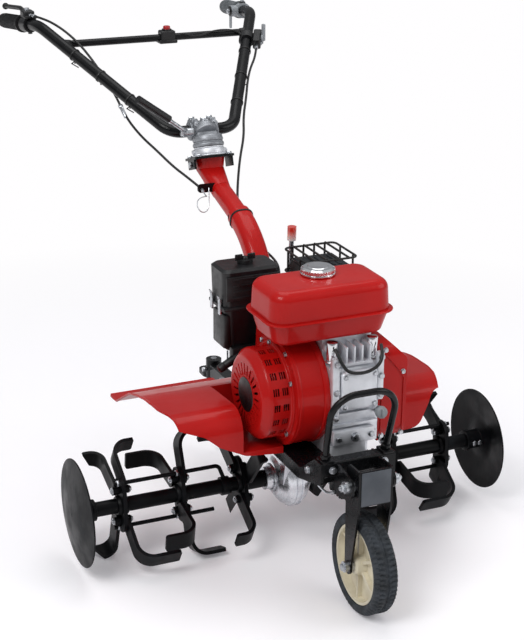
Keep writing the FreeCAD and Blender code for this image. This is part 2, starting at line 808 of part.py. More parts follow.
def throttle_lever():
    """Small lever on a clamp at the right grip."""
    way = (BAR_END - BAR_ARM).normalize()
    start = BAR_END - way * (GRIP_LENGTH + 32)
    ring = bar_clamp(start, start + way * 22)
    middle = start + way * 11
    body = disc((middle.x - 31, middle.x - 15.5), middle.y, middle.z, 13)
    arm = slab("yz", rectangle((middle.y - 5, middle.y + 5), (middle.z - 40, middle.z)),
               middle.x - 31, middle.x - 28, 4.9)
    return joined([ring, body, arm])


def throttle_box():
    """Throttle control housing on the outside of the right arm."""
    way = (BAR_ARM - BAR_LOW).normalize()
    middle = along(BAR_LOW, BAR_ARM, BOX_AT)
    outward = way.cross(V(0, 0, 1)).normalize()
    length, thick, high = BOX_SIZE
    case = Part.makeBox(length, thick, high, V(-length / 2, -thick / 2, -high / 2))
    case = case.makeFillet(3.5, case.Edges)
    turn = FreeCAD.Rotation(way, V(0, 0, 0), V(0, 0, 1), "XZY")
    case.Placement = FreeCAD.Placement(middle + outward * BOX_OUT, turn)
    return joined([case, bar_clamp(middle - way * 9, middle + way * 9)]).cut(
        rod(middle - way * 60, middle + way * 60, BAR_R + SEAT_GAP))


def stop_switch():
    """Engine stop switch, clamped on the cross tube, with its push button on top."""
    at = along(BAR_LOW, BAR_ARM, CROSS_AT)
    case = block(SWITCH_X, (at.y - 13, at.y + 13), (at.z - 10, at.z + 16))
    case = case.makeFillet(4, case.Edges)
    middle = sum(SWITCH_X) / 2
    button = Part.makeCylinder(8, 7, V(middle, at.y, at.z + 15))
    return joined([case, button]).cut(disc((-60, 60), at.y, at.z, CROSS_R + SEAT_GAP))


def cable_bracket(column):
    """Plate on the left of the column that holds the end of the clutch cable."""
    side = -(COLUMN_HALF[0] - 9)
    end = CLUTCH_ROUTE[-1]
    y = end.y - CABLE_SEAT
    outline = rectangle((end.x - 8, side), (end.z - 9, end.z + 9))
    plate = slab("xz", outline, y - BRACKET_WALL, y, [7, 0, 0, 7])
    return max(plate.cut(column).Solids, key=lambda s: s.Volume)


def control_bracket():
    """Plate on the cylinder with the tab that holds the end of the throttle cable."""
    y = THROTTLE_ROUTE[-1].y - CABLE_SEAT
    base = block((-6, 22), (26, y), (446.1, 449.1))
    tab = slab("xz", rectangle((-6, 16), (447, 474)), y - 3, y, [0, 0, 6, 6])
    return joined([base, tab])


# --------------------------------------------------------------- engine


def engine_block():
    """Crankcase with a base flange, a front shelf under the tank and ribs, and the finned cylinder."""
    low = BED_TOP
    front = BLOCK_FRONT + 8
    body = slab(
        "yz",
        [
            (front, low + BASE_HEIGHT - 4),
            (front, SHELF_Z),
            (SHELF_Y, SHELF_Z),
            (SHELF_Y, BLOCK_TOP),
            (BLOCK_REAR, BLOCK_TOP),
            (BLOCK_REAR, low + BASE_HEIGHT - 4),
        ],
        BLOCK_LEFT,
        BLOCK_RIGHT,
        [0, 14, 6, 3, 8, 0],
    )
    base = rectangle((BLOCK_LEFT, BLOCK_RIGHT - 20), (BLOCK_FRONT, BLOCK_REAR + 20))
    pieces = [body, slab("xy", base, low, low + BASE_HEIGHT, 8)]
    boss_z = (SHELF_Z + BLOCK_TOP) / 2 + 6
    for x in TANK_BOSS_X:
        pieces.append(Part.makeCylinder(TANK_BOSS_R, 14, V(x, SHELF_Y + 2, boss_z), V(0, -1, 0)))
    for i in range(BLOCK_RIBS):
        z = low + BASE_HEIGHT + 14 + i * 22
        rib = block((BLOCK_LEFT + 4, BLOCK_RIGHT - 4), (BLOCK_FRONT, BLOCK_FRONT + 12), (z, z + 5))
        pieces.append(rib)
    for i in range(FIN_COUNT):
        y = BLOCK_REAR + 4 + i * 9
        pieces.append(block((BLOCK_LEFT, BLOCK_RIGHT + 2), (y, y + 4), (318, 446)))
    pieces.append(block((BLOCK_LEFT + 12, BLOCK_RIGHT - 14), (BLOCK_REAR - 2, 80), (334, 430)))
    pieces.append(block((BLOCK_LEFT + 4, BLOCK_RIGHT - 6), (76, 92), (322, 442)))
    return joined(pieces)


def fan_cover():
    """Red blower housing: a drum round the crank with a shoulder that runs back to the cylinder."""
    drum = disc((FAN_FACE, BLOCK_LEFT), CRANK_Y, CRANK_Z, FAN_R)
    shoulder = slab(
        "yz",
        [
            (CRANK_Y - 60, CRANK_Z + 60),
            (CRANK_Y - 30, 466),
            (CRANK_Y + 100, 466),
            (CRANK_Y + 110, 330),
            (CRANK_Y + 60, CRANK_Z - 60),
        ],
        FAN_FACE + 6,
        BLOCK_LEFT,
        [10, 30, 20, 20, 10],
    )
    whole = joined([drum, shoulder])
    return whole.cut(disc((FAN_FACE - 1, FAN_FACE + 12), CRANK_Y, CRANK_Z, RECOIL_R - 4))


def recoil_cover():
    """Deep starter housing on the drum: a ring of radial slots in its face and vents in its side."""
    face = FAN_FACE - RECOIL_DEPTH
    inside = RECOIL_R - RECOIL_WALL
    outline = [
        (face, 0),
        (face, RECOIL_R - 14),
        (face + 14, RECOIL_R),
        (FAN_FACE - 4, RECOIL_R),
        (FAN_FACE - 4, RECOIL_R + 7),
        (FAN_FACE, RECOIL_R + 7),
        (FAN_FACE, inside),
        (face + 14, inside),
        (face + RECOIL_WALL, inside - 13),
        (face + RECOIL_WALL, 0),
    ]
    dome = turned(outline, CRANK_Y, CRANK_Z, [0, 10, 10, 3, 1.5, 0, 0, 8, 8, 0])
    openings = []
    for i in range(RECOIL_SLOTS):
        slot = block((face - 2, face + 6), (-2.4, 2.4), RECOIL_SLOT_RING)
        openings.append(about_crank(slot, i, RECOIL_SLOTS))
    for i in range(RECOIL_VENTS):
        for start in (face + 20, face + 38):
            vent = block((start, start + 12), (-7, 7), (inside - 4, RECOIL_R + 4))
            openings.append(about_crank(vent, i, RECOIL_VENTS))
    return dome.cut(openings)


def about_crank(shape, index, count):
    """Turns a shape that stands over the X axis to its place in a ring about the crankshaft."""
    shape.rotate(V(0, 0, 0), V(1, 0, 0), (index + 0.5) * 360 / count)
    shape.translate(V(0, CRANK_Y, CRANK_Z))
    return shape


def tank_outline(z, inset):
    corners = rectangle(TANK_X, TANK_Y, -inset)
    points = [V(x, y, z) for x, y in corners]
    return corner_wire(points, TANK_CORNER - inset * 0.5, closed=True)


def fuel_tank():
    """Two pressed halves with rounded shoulders that meet at a seam flange, on four feet."""
    upper = skin([tank_outline(TANK_SEAM_Z, 5), tank_outline(TANK_TOP_Z, 8)])
    upper = upper.makeFillet(TANK_SHOULDER, edges_at(upper, TANK_TOP_Z))
    lower = skin([tank_outline(TANK_BOTTOM_Z, 17), tank_outline(TANK_SEAM_Z, 5)])
    lower = lower.makeFillet(TANK_SOLE, edges_at(lower, TANK_BOTTOM_Z))
    flange = skin([tank_outline(TANK_SEAM_Z - 1.5, 0), tank_outline(TANK_SEAM_Z + 1.5, 0)])
    neck = Part.makeCylinder(CAP_R - 7, 8, V(CAP_X, CAP_Y, TANK_TOP_Z - 4))
    feet = []
    for x in (BLOCK_LEFT + 14, BLOCK_RIGHT - 20):
        for y in (SHELF_Y + 12, BLOCK_REAR - 80):
            feet.append(Part.makeCylinder(8, TANK_BOTTOM_Z - BLOCK_TOP + 4, V(x, y, BLOCK_TOP)))
    return joined([upper, lower, flange, neck] + feet)


def edges_at(shape, z):
    """Edges that lie wholly at one height."""
    return [e for e in shape.Edges if abs(e.BoundBox.ZMin - z) < 0.01 and abs(e.BoundBox.ZMax - z) < 0.01]


def fuel_cap():
    outline = [
        (0, 0),
        (CAP_R - 4, 0),
        (CAP_R, 2),
        (CAP_R, 8),
        (CAP_R - 4, 11),
        (CAP_R - 11, 11),
        (CAP_R - 13, 12),
        (0, 12),
    ]
    base = TANK_TOP_Z + 4
    points = [V(CAP_X + r, CAP_Y, base + z) for r, z in outline]
    face = Part.Face(Part.makePolygon(points + points[:1]))
    return face.revolve(V(CAP_X, CAP_Y, base), V(0, 0, 1), 360)


def air_cleaner():
    """Tall plastic case that narrows below its cover."""
    def ring(z, inset):
        points = [V(x, y, z) for x, y in rectangle(CLEANER_X, CLEANER_Y, -inset)]
        return corner_wire(points, 14, closed=True)
    top = skin([ring(CLEANER_TOP - 5, 0), ring(CLEANER_TOP, 5)])
    cover = skin([ring(CLEANER_TOP - 78, 2), ring(CLEANER_TOP - 5, 0)])
    body = skin([ring(CLEANER_TOP - 168, 16), ring(CLEANER_TOP - 78, 6)])
    middle_x = sum(CLEANER_X) / 2
    middle_y = sum(CLEANER_Y) / 2
    knob = Part.makeCylinder(15, 10, V(middle_x, middle_y, CLEANER_TOP - 2))
    return joined([top, cover, body, knob])


def carburettor():
    """Carburettor and its elbow between the air cleaner and the cylinder."""
    body = block((CLEANER_X[1] - 14, BLOCK_LEFT), (30, 72), (392, 452))
    bowl = Part.makeCylinder(16, 30, V(-28, 53, 366))
    return joined([body, bowl]).cut(air_cleaner())


def muffler():
    box = slab("xz", rectangle(MUFFLER_X, MUFFLER_Z), MUFFLER_Y[0], MUFFLER_Y[1], 16)
    pipe = block((54, 78), (77, 83), (442, MUFFLER_Z[0] + 4))
    return joined([box, pipe])


def muffler_guard():
    """Wire cage round the muffler: three bent hoops, welded uprights and struts to the muffler."""
    wire = GUARD_WIRE_R
    x = (MUFFLER_X[0] - 6, MUFFLER_X[1] + 8)
    y = (MUFFLER_Y[0] - 8, MUFFLER_Y[1] + 18)
    z = (MUFFLER_Z[0] + 14, MUFFLER_Z[1] + 18)
    pieces = []
    for height in (z[0], (z[0] + z[1]) / 2, z[1]):
        ring = corner_wire([V(a, b, height) for a, b in rectangle(x, y)], 12, closed=True)
        start = ring.Edges[0]
        profile = Part.Wire([Part.makeCircle(wire, start.valueAt(start.FirstParameter),
                                             start.tangentAt(start.FirstParameter))])
        pieces.append(ring.makePipeShell([profile], True, False))
    step = (x[1] - x[0] - 40) / 3
    for i in range(4):
        across = x[0] + 20 + i * step
        pieces.append(rod(V(across, y[0], z[1] + wire * 0.7), V(across, y[1], z[1] + wire * 0.7), wire))
        pieces.append(rod(V(across, y[1] + wire * 0.7, z[0]), V(across, y[1] + wire * 0.7, z[1]), wire))
    for side, at in ((-1, x[0]), (1, x[1])):
        for deep in (y[0] + 24, y[1] - 24):
            beside = at + side * wire * 0.7
            pieces.append(rod(V(beside, deep, z[0]), V(beside, deep, z[1]), wire))
    middle_x = sum(MUFFLER_X) / 2
    strut_z = z[0] + wire * 0.7
    pieces.append(rod(V(middle_x, y[1] + 1, strut_z), V(middle_x, MUFFLER_Y[1], strut_z), wire))
    pieces.append(rod(V(MUFFLER_X[1], 40, strut_z), V(x[1] + 1, 40, strut_z), wire))
    whole = pieces[0].multiFuse(pieces[1:])
    return whole


def fender_height(y):
    """Height of the fender's top surface."""
    for (y0, z0), (y1, z1) in zip(FENDER_TOP, FENDER_TOP[1:]):
        if y1 <= y <= y0:
            return z1 + (z0 - z1) * (y - y1) / (y0 - y1)
    return FENDER_TOP[-1][1]


def drive_cover():
    """Red cover of the belt drive on the right side; it stands on the fender and before its skirt."""
    front = SKIRT_FRONT - 1.5
    outline = [
        (-186, 254),
        (-186, 452),
        (-120, COVER_TOP + 2),
        (60, 446),
        (106, 372),
        (COVER_REAR, fender_height(COVER_REAR) + COVER_GAP),
        (21, fender_height(21) + COVER_GAP),
        (front, fender_height(SKIRT_FRONT) + COVER_GAP),
        (front, 254),
    ]
    side = slab("yz", outline, COVER_X[0], COVER_X[1], [34, 46, 60, 60, 40, 6, 0, FENDER_BENDS[-1], 6])
    across = [
        (COVER_X[0], 240),
        (COVER_X[0], COVER_TOP),
        (COVER_X[1] - COVER_SLOPE, COVER_TOP),
        (COVER_X[1], COVER_TOP - COVER_SLOPE),
        (COVER_X[1], 240),
    ]
    return side.common(slab("xz", across, -200, 120, [0, 3, 14, 16, 0]))


def fender(right):
    """Pressed sheet over the tines: a hump with a rolled front, walled off from a low floor inside."""
    inner = BLOCK_RIGHT + 5 if right else HUMP_LEFT
    notch = NOTCH_RIGHT if right else NOTCH_LEFT
    edge = RIGHT_EDGE if right else LEFT_EDGE
    rear_y = FENDER_TOP[0][0]
    far = edge[0][0] + 20
    thick = FENDER_THICK
    inside = FENDER_BENDS[:-1] + [FENDER_BENDS[-1] - thick]
    under = [(y, z - thick) for y, z in reversed(FENDER_TOP)]
    under[0] = (under[0][0] + thick, under[0][1])
    skirt = [(SKIRT_FRONT, SKIRT_BOTTOM), (SKIRT_FRONT + thick, SKIRT_BOTTOM)]
    sheet = slab("yz", FENDER_TOP + skirt + under, BED_HALF, far, FENDER_BENDS + [0, 0] + inside[::-1])
    foot = [(SKIRT_FRONT, SKIRT_BOTTOM), (rear_y, SKIRT_BOTTOM)]
    filled = slab("yz", FENDER_TOP + foot, BED_HALF, far, FENDER_BENDS + [0, 0])
    over_engine = (SKIRT_FRONT - 10, notch)
    above = (FLOOR_Z, HUMP_TOP)
    plan = [(BED_HALF, rear_y), (BED_HALF, SKIRT_FRONT - 2)] + edge[::-1]
    top = slab("xy", plan, SKIRT_BOTTOM - 2, HUMP_TOP, [0, 0, 0, 60, 150, 60, 12])
    face = (RIGHT_SKIRT if right else LEFT_SKIRT) + [(far, HUMP_TOP), (BED_HALF, HUMP_TOP)]
    bends = [0] + [26] * (len(face) - 4) + [0, 0, 0]
    roll_end = SKIRT_FRONT + FENDER_BENDS[-1]
    front = slab("xz", face, SKIRT_FRONT - 2, roll_end, bends)
    rest = block((0, far), (roll_end, rear_y), (SKIRT_BOTTOM - 2, HUMP_TOP))
    whole = sheet.common(top).common(front.fuse(rest)).cut(block((0, inner), over_engine, above))
    floor_z = (FLOOR_Z - thick, FLOOR_Z)
    pieces = [
        whole,
        block((BED_HALF, inner + thick), (SKIRT_FRONT + 1, notch + thick), floor_z),
        filled.common(block((inner, inner + thick), over_engine, (FLOOR_Z - thick, HUMP_TOP))),
        filled.common(block((BED_HALF, inner + thick), (notch, notch + thick), (FLOOR_Z - thick, HUMP_TOP))),
        filled.common(block((BED_HALF, BED_HALF + thick), (notch, BED_REAR), (SKIRT_BOTTOM, HUMP_TOP))),
        block((BED_HALF, BED_HALF + thick), (SKIRT_FRONT + 1, notch + thick), (SKIRT_BOTTOM, FLOOR_Z)),
        block((BED_HALF, BED_HALF + thick), (30, 90), (BED_TOP - 20, FLOOR_Z)),
    ]
    return joined(pieces)


def shift_lever():
    """Gear lever beside the column."""
    foot = V(50, 130, BED_TOP)
    top = V(57, 120, 571)
    return rod(foot, top, 5), rod(top, top + V(0, -1, 28), 9)


def hitch_arm():
    """Square tube behind the gear case that ends in the drag bar's socket and a hitch plate."""
    end = HITCH_Y - 14
    arm = block((-14, 14), (80, end), (HITCH_Z - 14, HITCH_Z + 14))
    inner = 14 - ARM_WALL
    hollow = block((-inner, inner), (92, end - 2), (HITCH_Z - inner, HITCH_Z + inner))
    socket = Part.makeCylinder(17, 44, V(0, HITCH_Y, HITCH_Z - 22))
    plate = slab("xy", rectangle((-20, 20), (HITCH_Y, HITCH_Y + 48)), HITCH_Z - 22, HITCH_Z - 12, 14)
    foot = block((-26, 26), (78.1, 92), (HITCH_Z - 20, BED_TOP - BED_THICK))
    whole = joined([arm.cut(hollow), socket, plate, foot])
    whole = whole.cut(Part.makeCylinder(DRAG_R + RUNNING_GAP, 80, V(0, HITCH_Y, HITCH_Z - 40)))
    return whole.cut(Part.makeCylinder(8, 40, V(0, HITCH_Y + 32, HITCH_Z - 30)))


def drag_bar():
    return rod(V(0, HITCH_Y, DRAG_BOTTOM), V(0, HITCH_Y, DRAG_TOP), DRAG_R)


def write(name, shape):
    moved = shape.copy()
    moved.translate(V(0, ROW_Y, 0))
    moved.exportStep("parts/" + name + ".step")
    print(name, len(moved.Solids), moved.isValid(), round(moved.Volume / 1000, 1))


def build():
    nodes = {}
    nodes["rotor_shaft"] = disc((-SHAFT_HALF, SHAFT_HALF), 0, AXLE_Z, SHAFT_R)
    right_side = {"tine_tube": tine_tube(), "side_disc": side_disc(), "tie_rods": tie_rods()}
    for name in SET_X:
        right_side[name + "_tines"] = tine_set(name)
    for name, shape in right_side.items():
        nodes[name + "_right"] = shape
        nodes[name + "_left"] = mirrored(shape)
    nodes["wheel_tyre"] = wheel_tyre()
    nodes["wheel_rim"] = wheel_rim()
    nodes["wheel_pin"] = wheel_pin()
    nodes["wheel_fork"] = wheel_fork()
    nodes["fold_pin"] = fold_pin()
    nodes["main_frame"] = main_frame()
    nodes["front_guard"] = front_guard()
    nodes["gear_case"] = gear_case()
    nodes["handle_column"], nodes["column_sleeve"] = handle_column()
    nodes["column_plate"] = column_plate()
    nodes["lower_head"] = lower_head()
    nodes["upper_head"] = upper_head()
    nodes["handlebar"] = handlebar()
    nodes["cross_tube"] = cross_tube(nodes["handlebar"])
    nodes["grip_right"] = grip()
    nodes["grip_left"] = mirrored(grip())
    nodes["lock_lever"], nodes["lock_lever_grip"] = lock_lever()
    nodes["clutch_lever"] = mirrored(clutch_lever())
    nodes["throttle_lever"] = throttle_lever()
    nodes["throttle_box"] = throttle_box()
    nodes["stop_switch"] = stop_switch()
    nodes["clutch_cable"] = cable(CLUTCH_ROUTE)
    nodes["throttle_cable"] = cable(THROTTLE_ROUTE)
    nodes["cable_bracket"] = cable_bracket(nodes["handle_column"])
    nodes["control_bracket"] = control_bracket()
    nodes["engine_block"] = engine_block()
    nodes["fan_cover"] = fan_cover()
    nodes["recoil_cover"] = recoil_cover()
    nodes["fuel_tank"] = fuel_tank()
    nodes["fuel_cap"] = fuel_cap()
    nodes["air_cleaner"] = air_cleaner()
    nodes["carburettor"] = carburettor()
    nodes["muffler"] = muffler()
    nodes["muffler_guard"] = muffler_guard()
    nodes["drive_cover"] = drive_cover()
    nodes["fender_right"] = fender(True)
    nodes["fender_left"] = mirrored(fender(False))
    nodes["shift_lever"], nodes["shift_knob"] = shift_lever()
    nodes["hitch_arm"] = hitch_arm()
    nodes["drag_bar"] = drag_bar()
    return nodes


os.makedirs("parts", exist_ok=True)
for node, solid in build().items():
    write(node, solid)
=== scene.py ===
"""Looks of a petrol rotary tiller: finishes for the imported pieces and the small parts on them.

Lengths in the modelling functions are millimetres, measured from the point on the floor
below the tine axle: X across the machine, Y towards the grips, Z up.
"""
import json
import math

import bmesh
import bpy
from mathutils import Matrix, Vector


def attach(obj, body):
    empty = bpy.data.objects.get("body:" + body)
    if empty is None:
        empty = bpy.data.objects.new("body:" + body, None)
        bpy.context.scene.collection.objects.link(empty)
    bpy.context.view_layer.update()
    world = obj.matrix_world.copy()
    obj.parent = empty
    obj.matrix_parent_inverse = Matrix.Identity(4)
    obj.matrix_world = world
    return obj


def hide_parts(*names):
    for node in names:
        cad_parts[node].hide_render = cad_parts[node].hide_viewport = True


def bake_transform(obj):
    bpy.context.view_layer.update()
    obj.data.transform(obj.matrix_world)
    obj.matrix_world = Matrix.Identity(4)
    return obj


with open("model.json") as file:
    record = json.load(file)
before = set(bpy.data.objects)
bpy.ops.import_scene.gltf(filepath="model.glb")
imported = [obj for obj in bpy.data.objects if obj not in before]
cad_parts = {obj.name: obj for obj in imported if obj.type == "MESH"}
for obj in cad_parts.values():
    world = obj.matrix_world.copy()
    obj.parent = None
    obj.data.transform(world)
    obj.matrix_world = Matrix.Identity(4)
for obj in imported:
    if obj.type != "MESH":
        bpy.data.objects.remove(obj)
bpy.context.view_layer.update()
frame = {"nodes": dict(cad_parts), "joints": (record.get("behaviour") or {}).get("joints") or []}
NODES = frame["nodes"]
JOINTS = {joint["name"]: joint for joint in frame["joints"]}
AXLE = Vector(JOINTS["tine_rotor_spin"]["pos_m"])
FLOOR_POINT = Vector((0, AXLE.y, 0))
MM = 0.001
X, Z = Vector((1, 0, 0)), Vector((0, 0, 1))


# ---------------------------------------------------------------- camera, floor and light

CAMERA_PLACE = (-1180.4, -2542.8, 1489.9)
CAMERA_TURN = 0.41662
CAMERA_TILT = 0.36492
CAMERA_ROLL = 0.00722
LENS = 87.41
SHIFT = (-0.00248, 0.02418)
SENSOR_WIDTH = 36
BACKDROP_SIZE = 30.0
AMBIENT_STRENGTH = 0.62
FLOOR_GLOW = 0.14
FLOOR_FADE = (0.7, 1.7)
LAMPS = (("key", (1.6, 1.6), 62, (-2.2, -1.6, 3.0), (0, 0, 0.4)),
         ("fill", (2.4, 1.8), 30, (2.6, -2.0, 2.0), (0, 0, 0.4)),
         ("top", (2.0, 2.0), 26, (0.3, 0.4, 3.4), (0, 0, 0.3)))


def make_camera():
    data = bpy.data.cameras.new("camera")
    data.lens = LENS
    data.sensor_width = SENSOR_WIDTH
    data.shift_x, data.shift_y = SHIFT
    camera = bpy.data.objects.new("camera", data)
    camera.location = place(*CAMERA_PLACE)
    camera.rotation_mode = "QUATERNION"
    tilted = Matrix.Rotation(math.pi / 2 - CAMERA_TILT, 4, "X")
    turned = Matrix.Rotation(-CAMERA_TURN, 4, "Z")
    rolled = Matrix.Rotation(CAMERA_ROLL, 4, "Z")
    camera.rotation_quaternion = (turned @ tilted @ rolled).to_quaternion()
    bpy.context.scene.collection.objects.link(camera)
    bpy.context.scene.camera = camera


def make_lamp(name, size, watts, location, target):
    data = bpy.data.lights.new(name, "AREA")
    data.shape = "RECTANGLE"
    data.size, data.size_y = size
    data.energy = watts
    lamp = bpy.data.objects.new(name, data)
    lamp.location = location
    lamp.rotation_mode = "QUATERNION"
    lamp.rotation_quaternion = (Vector(target) - Vector(location)).to_track_quat("-Z", "Y")
    bpy.context.scene.collection.objects.link(lamp)


def make_stage():
    """Pale floor that reads as white to the camera and keeps the machine's shadow."""
    bm = bmesh.new()
    bmesh.ops.create_grid(bm, x_segments=1, y_segments=1, size=BACKDROP_SIZE / 2)
    floor = finish_piece(bm, "floor", None)
    floor.data.materials.append(floor_paper())
    world = bpy.data.worlds.new("studio")
    bpy.context.scene.world = world
    world.use_nodes = True
    tree = world.node_tree
    tree.nodes.clear()
    ray = add(tree, "ShaderNodeLightPath")
    seen = add(tree, "ShaderNodeMath", {0: (ray, "Is Camera Ray"), 1: (ray, "Is Transmission Ray")},
               operation="MAXIMUM")
    sky = add(tree, "ShaderNodeTexCoord")
    up = add(tree, "ShaderNodeSeparateXYZ", {0: (sky, "Generated")})
    glow = add(tree, "ShaderNodeValToRGB", {0: (up, "Z")})
    set_ramp(glow, [(0.0, "#8F8F93"), (0.25, "#B4B5B8"), (0.75, "#F2F3F5")])
    ambient = add(tree, "ShaderNodeBackground", {"Color": (glow, "Color"), "Strength": AMBIENT_STRENGTH})
    white = add(tree, "ShaderNodeBackground", {"Color": linear("#FFFFFF"), "Strength": 1.0})
    both = add(tree, "ShaderNodeMixShader", {0: (seen, 0), 1: (ambient, 0), 2: (white, 0)})
    add(tree, "ShaderNodeOutputWorld", {"Surface": (both, 0)})


# ---------------------------------------------------------------- materials


def linear(code):
    """sRGB hex colour as linear RGBA."""
    channels = [int(code[i:i + 2], 16) / 255 for i in (1, 3, 5)]
    return [c / 12.92 if c <= 0.04045 else ((c + 0.055) / 1.055) ** 2.4 for c in channels] + [1.0]


def add(tree, kind, inputs=None, **settings):
    """Adds a node; an input is a value, or (node, output) to link."""
    node = tree.nodes.new(kind)
    for key, value in settings.items():
        setattr(node, key, value)
    for key, value in (inputs or {}).items():
        if isinstance(value, tuple) and isinstance(value[0], bpy.types.Node):
            tree.links.new(value[0].outputs[value[1]], node.inputs[key])
        else:
            node.inputs[key].default_value = value
    return node


def set_ramp(node, stops):
    ramp = node.color_ramp
    while len(ramp.elements) < len(stops):
        ramp.elements.new(1.0)
    for element, (position, code) in zip(ramp.elements, stops):
        element.position = position
        element.color = linear(code)


def new_material(name):
    material = bpy.data.materials.new(name)
    material.use_nodes = True
    tree = material.node_tree
    tree.nodes.clear()
    return material, tree


def grain(tree, coordinates, size_mm, detail=3.0, stretch=(1, 1, 1)):
    """Noise whose features are about size_mm wide."""
    wave = 1.0 / (size_mm * MM)
    mapping = add(tree, "ShaderNodeMapping", {"Vector": (coordinates, "Object"), "Scale": stretch})
    return add(tree, "ShaderNodeTexNoise", {"Vector": (mapping, 0), "Scale": wave, "Detail": detail})


def span(tree, source, output, low, high, start=0.35, end=0.65):
    """Maps a noise's middle range to low..high."""
    return add(tree, "ShaderNodeMapRange", {"Value": (source, output), "From Min": start, "From Max": end,
                                            "To Min": low, "To Max": high})


def tinted(tree, source, first, second):
    ramp = add(tree, "ShaderNodeValToRGB", {0: (source, 0)})
    set_ramp(ramp, [(0.38, first), (0.62, second)])
    return ramp


def surface(tree, color, roughness, bump=None, **sockets):
    """Principled surface: linked colour, roughness and bump, constants on its own sockets."""
    inputs = {"Base Color": color, "Roughness": roughness}
    if bump is not None:
        inputs["Normal"] = (bump, 0)
    inputs.update({key.replace("_", " "): value for key, value in sockets.items()})
    shader = add(tree, "ShaderNodeBsdfPrincipled", inputs)
    add(tree, "ShaderNodeOutputMaterial", {"Surface": (shader, 0)})
    return shader


def bumped(tree, source, output, height_mm, strength=1.0):
    return add(tree, "ShaderNodeBump", {"Height": (source, output), "Distance": height_mm * MM,
                                        "Strength": strength})


def floor_paper():
    """Matt studio paper: white to the camera, with the machine's soft shadow."""
    material, tree = new_material("studio_paper")
    paper = add(tree, "ShaderNodeBsdfDiffuse", {"Color": linear("#F4F3F5")})
    shine = add(tree, "ShaderNodeEmission", {"Color": linear("#FBF8FF"), "Strength": FLOOR_GLOW})
    near = add(tree, "ShaderNodeAddShader", {0: (paper, 0), 1: (shine, 0)})
    away = add(tree, "ShaderNodeEmission", {"Color": linear("#FFFEFF"), "Strength": 1.0})
    coordinates = add(tree, "ShaderNodeTexCoord")
    reach = add(tree, "ShaderNodeVectorMath", {0: (coordinates, "Object")}, operation="LENGTH")
    fade = add(tree, "ShaderNodeMapRange", {"Value": (reach, "Value"), "From Min": FLOOR_FADE[0],
                                                  "From Max": FLOOR_FADE[1]})
    lit = add(tree, "ShaderNodeMixShader", {0: (fade, 0), 1: (near, 0), 2: (away, 0)})
    ray = add(tree, "ShaderNodeLightPath")
    seen = add(tree, "ShaderNodeMath", {0: (ray, "Is Camera Ray"), 1: (ray, "Is Glossy Ray")},
               operation="MAXIMUM")
    both = add(tree, "ShaderNodeMixShader", {0: (seen, 0), 1: (paper, 0), 2: (lit, 0)})
    add(tree, "ShaderNodeOutputMaterial", {"Surface": (both, 0)})
    return material


def finish(name, tint, haze, relief=None, **sockets):
    """Surface from noises: tint (mm, detail, colours), haze (mm, detail, roughness range) and
    relief (mm, detail, height in mm, strength)."""
    material, tree = new_material(name)
    coordinates = add(tree, "ShaderNodeTexCoord")
    color = tinted(tree, grain(tree, coordinates, *tint[:2]), *tint[2:])
    rough = span(tree, grain(tree, coordinates, *haze[:2]), 0, *haze[2:])
    bump = None
    if relief is not None:
        bump = bumped(tree, grain(tree, coordinates, *relief[:2]), 0, *relief[2:])
    surface(tree, (color, 0), (rough, 0), bump, **sockets)
    return material


def red_enamel():
    """Baked gloss enamel on pressed steel: deep red under a clear, slightly wavy skin."""
    return finish("red_baked_enamel", (160, 2, "#AA100E", "#B41412"), (45, 3, 0.3, 0.4),
                  (5, 1, 0.05, 0.35), Coat_Weight=0.22, Coat_Roughness=0.05,
                  Specular_IOR_Level=0.14, IOR=1.45)


def black_enamel(name="black_satin_enamel", first="#08080A", second="#0D0E10", rough=0.27):
    """Sprayed satin enamel on steel tube and plate: orange peel and duller patches."""
    return finish(name, (60, 3, first, second), (24, 5, rough - 0.06, rough + 0.06),
                  (3, 2, 0.08, 0.3), IOR=1.5, Specular_IOR_Level=0.24)


def tine_steel():
    """Dipped black paint on forged blades, greyer and rougher towards worn patches."""
    material, tree = new_material("black_dipped_steel")
    coordinates = add(tree, "ShaderNodeTexCoord")
    wear = grain(tree, coordinates, 38, 6)
    color = add(tree, "ShaderNodeValToRGB", {0: (wear, 0)})
    set_ramp(color, [(0.35, "#070709"), (0.62, "#0C0D10"), (0.8, "#1B1E22")])
    haze = span(tree, wear, 0, 0.34, 0.52)
    runs = grain(tree, coordinates, 7, 3, (1, 1, 0.35))
    bump = bumped(tree, runs, 0, 0.25, 0.5)
    surface(tree, (color, 0), (haze, 0), bump, IOR=1.5, Specular_IOR_Level=0.12)
    return material


def cast_aluminium(name="die_cast_aluminium", first="#D3D5DA", second="#E3E5EA"):
    """Die-cast aluminium: sandy skin with a soft metal sheen."""
    return finish(name, (30, 4, first, second), (12, 4, 0.42, 0.56), (1.6, 2, 0.08, 0.4),
                  Metallic=0.7)


def polished_aluminium():
    """Buffed aluminium casting: bright, with fine turning marks round the axle line."""
    material, tree = new_material("buffed_aluminium")
    coordinates = add(tree, "ShaderNodeTexCoord")
    color = tinted(tree, grain(tree, coordinates, 24, 4), "#D8DADF", "#E8EAEE")
    lines = grain(tree, coordinates, 3, 3, (6, 0.25, 0.25))
    haze = span(tree, lines, 0, 0.24, 0.31)
    bump = bumped(tree, lines, 0, 0.03, 0.12)
    surface(tree, (color, 0), (haze, 0), bump, Metallic=1.0)
    return material


def zinc_plate():
    """Zinc plated fasteners and rods: satin grey with a faint bluish cast."""
    return finish("zinc_plated_steel", (9, 4, "#A6A9AD", "#C6C9CE"), (5, 3, 0.24, 0.4), Metallic=1.0)


def chrome():
    """Bright chromium plating on the cap and bosses, almost a mirror."""
    return finish("chromium_plate", (40, 2, "#D2D3D6", "#E4E5E8"), (20, 3, 0.06, 0.13), Metallic=1.0)


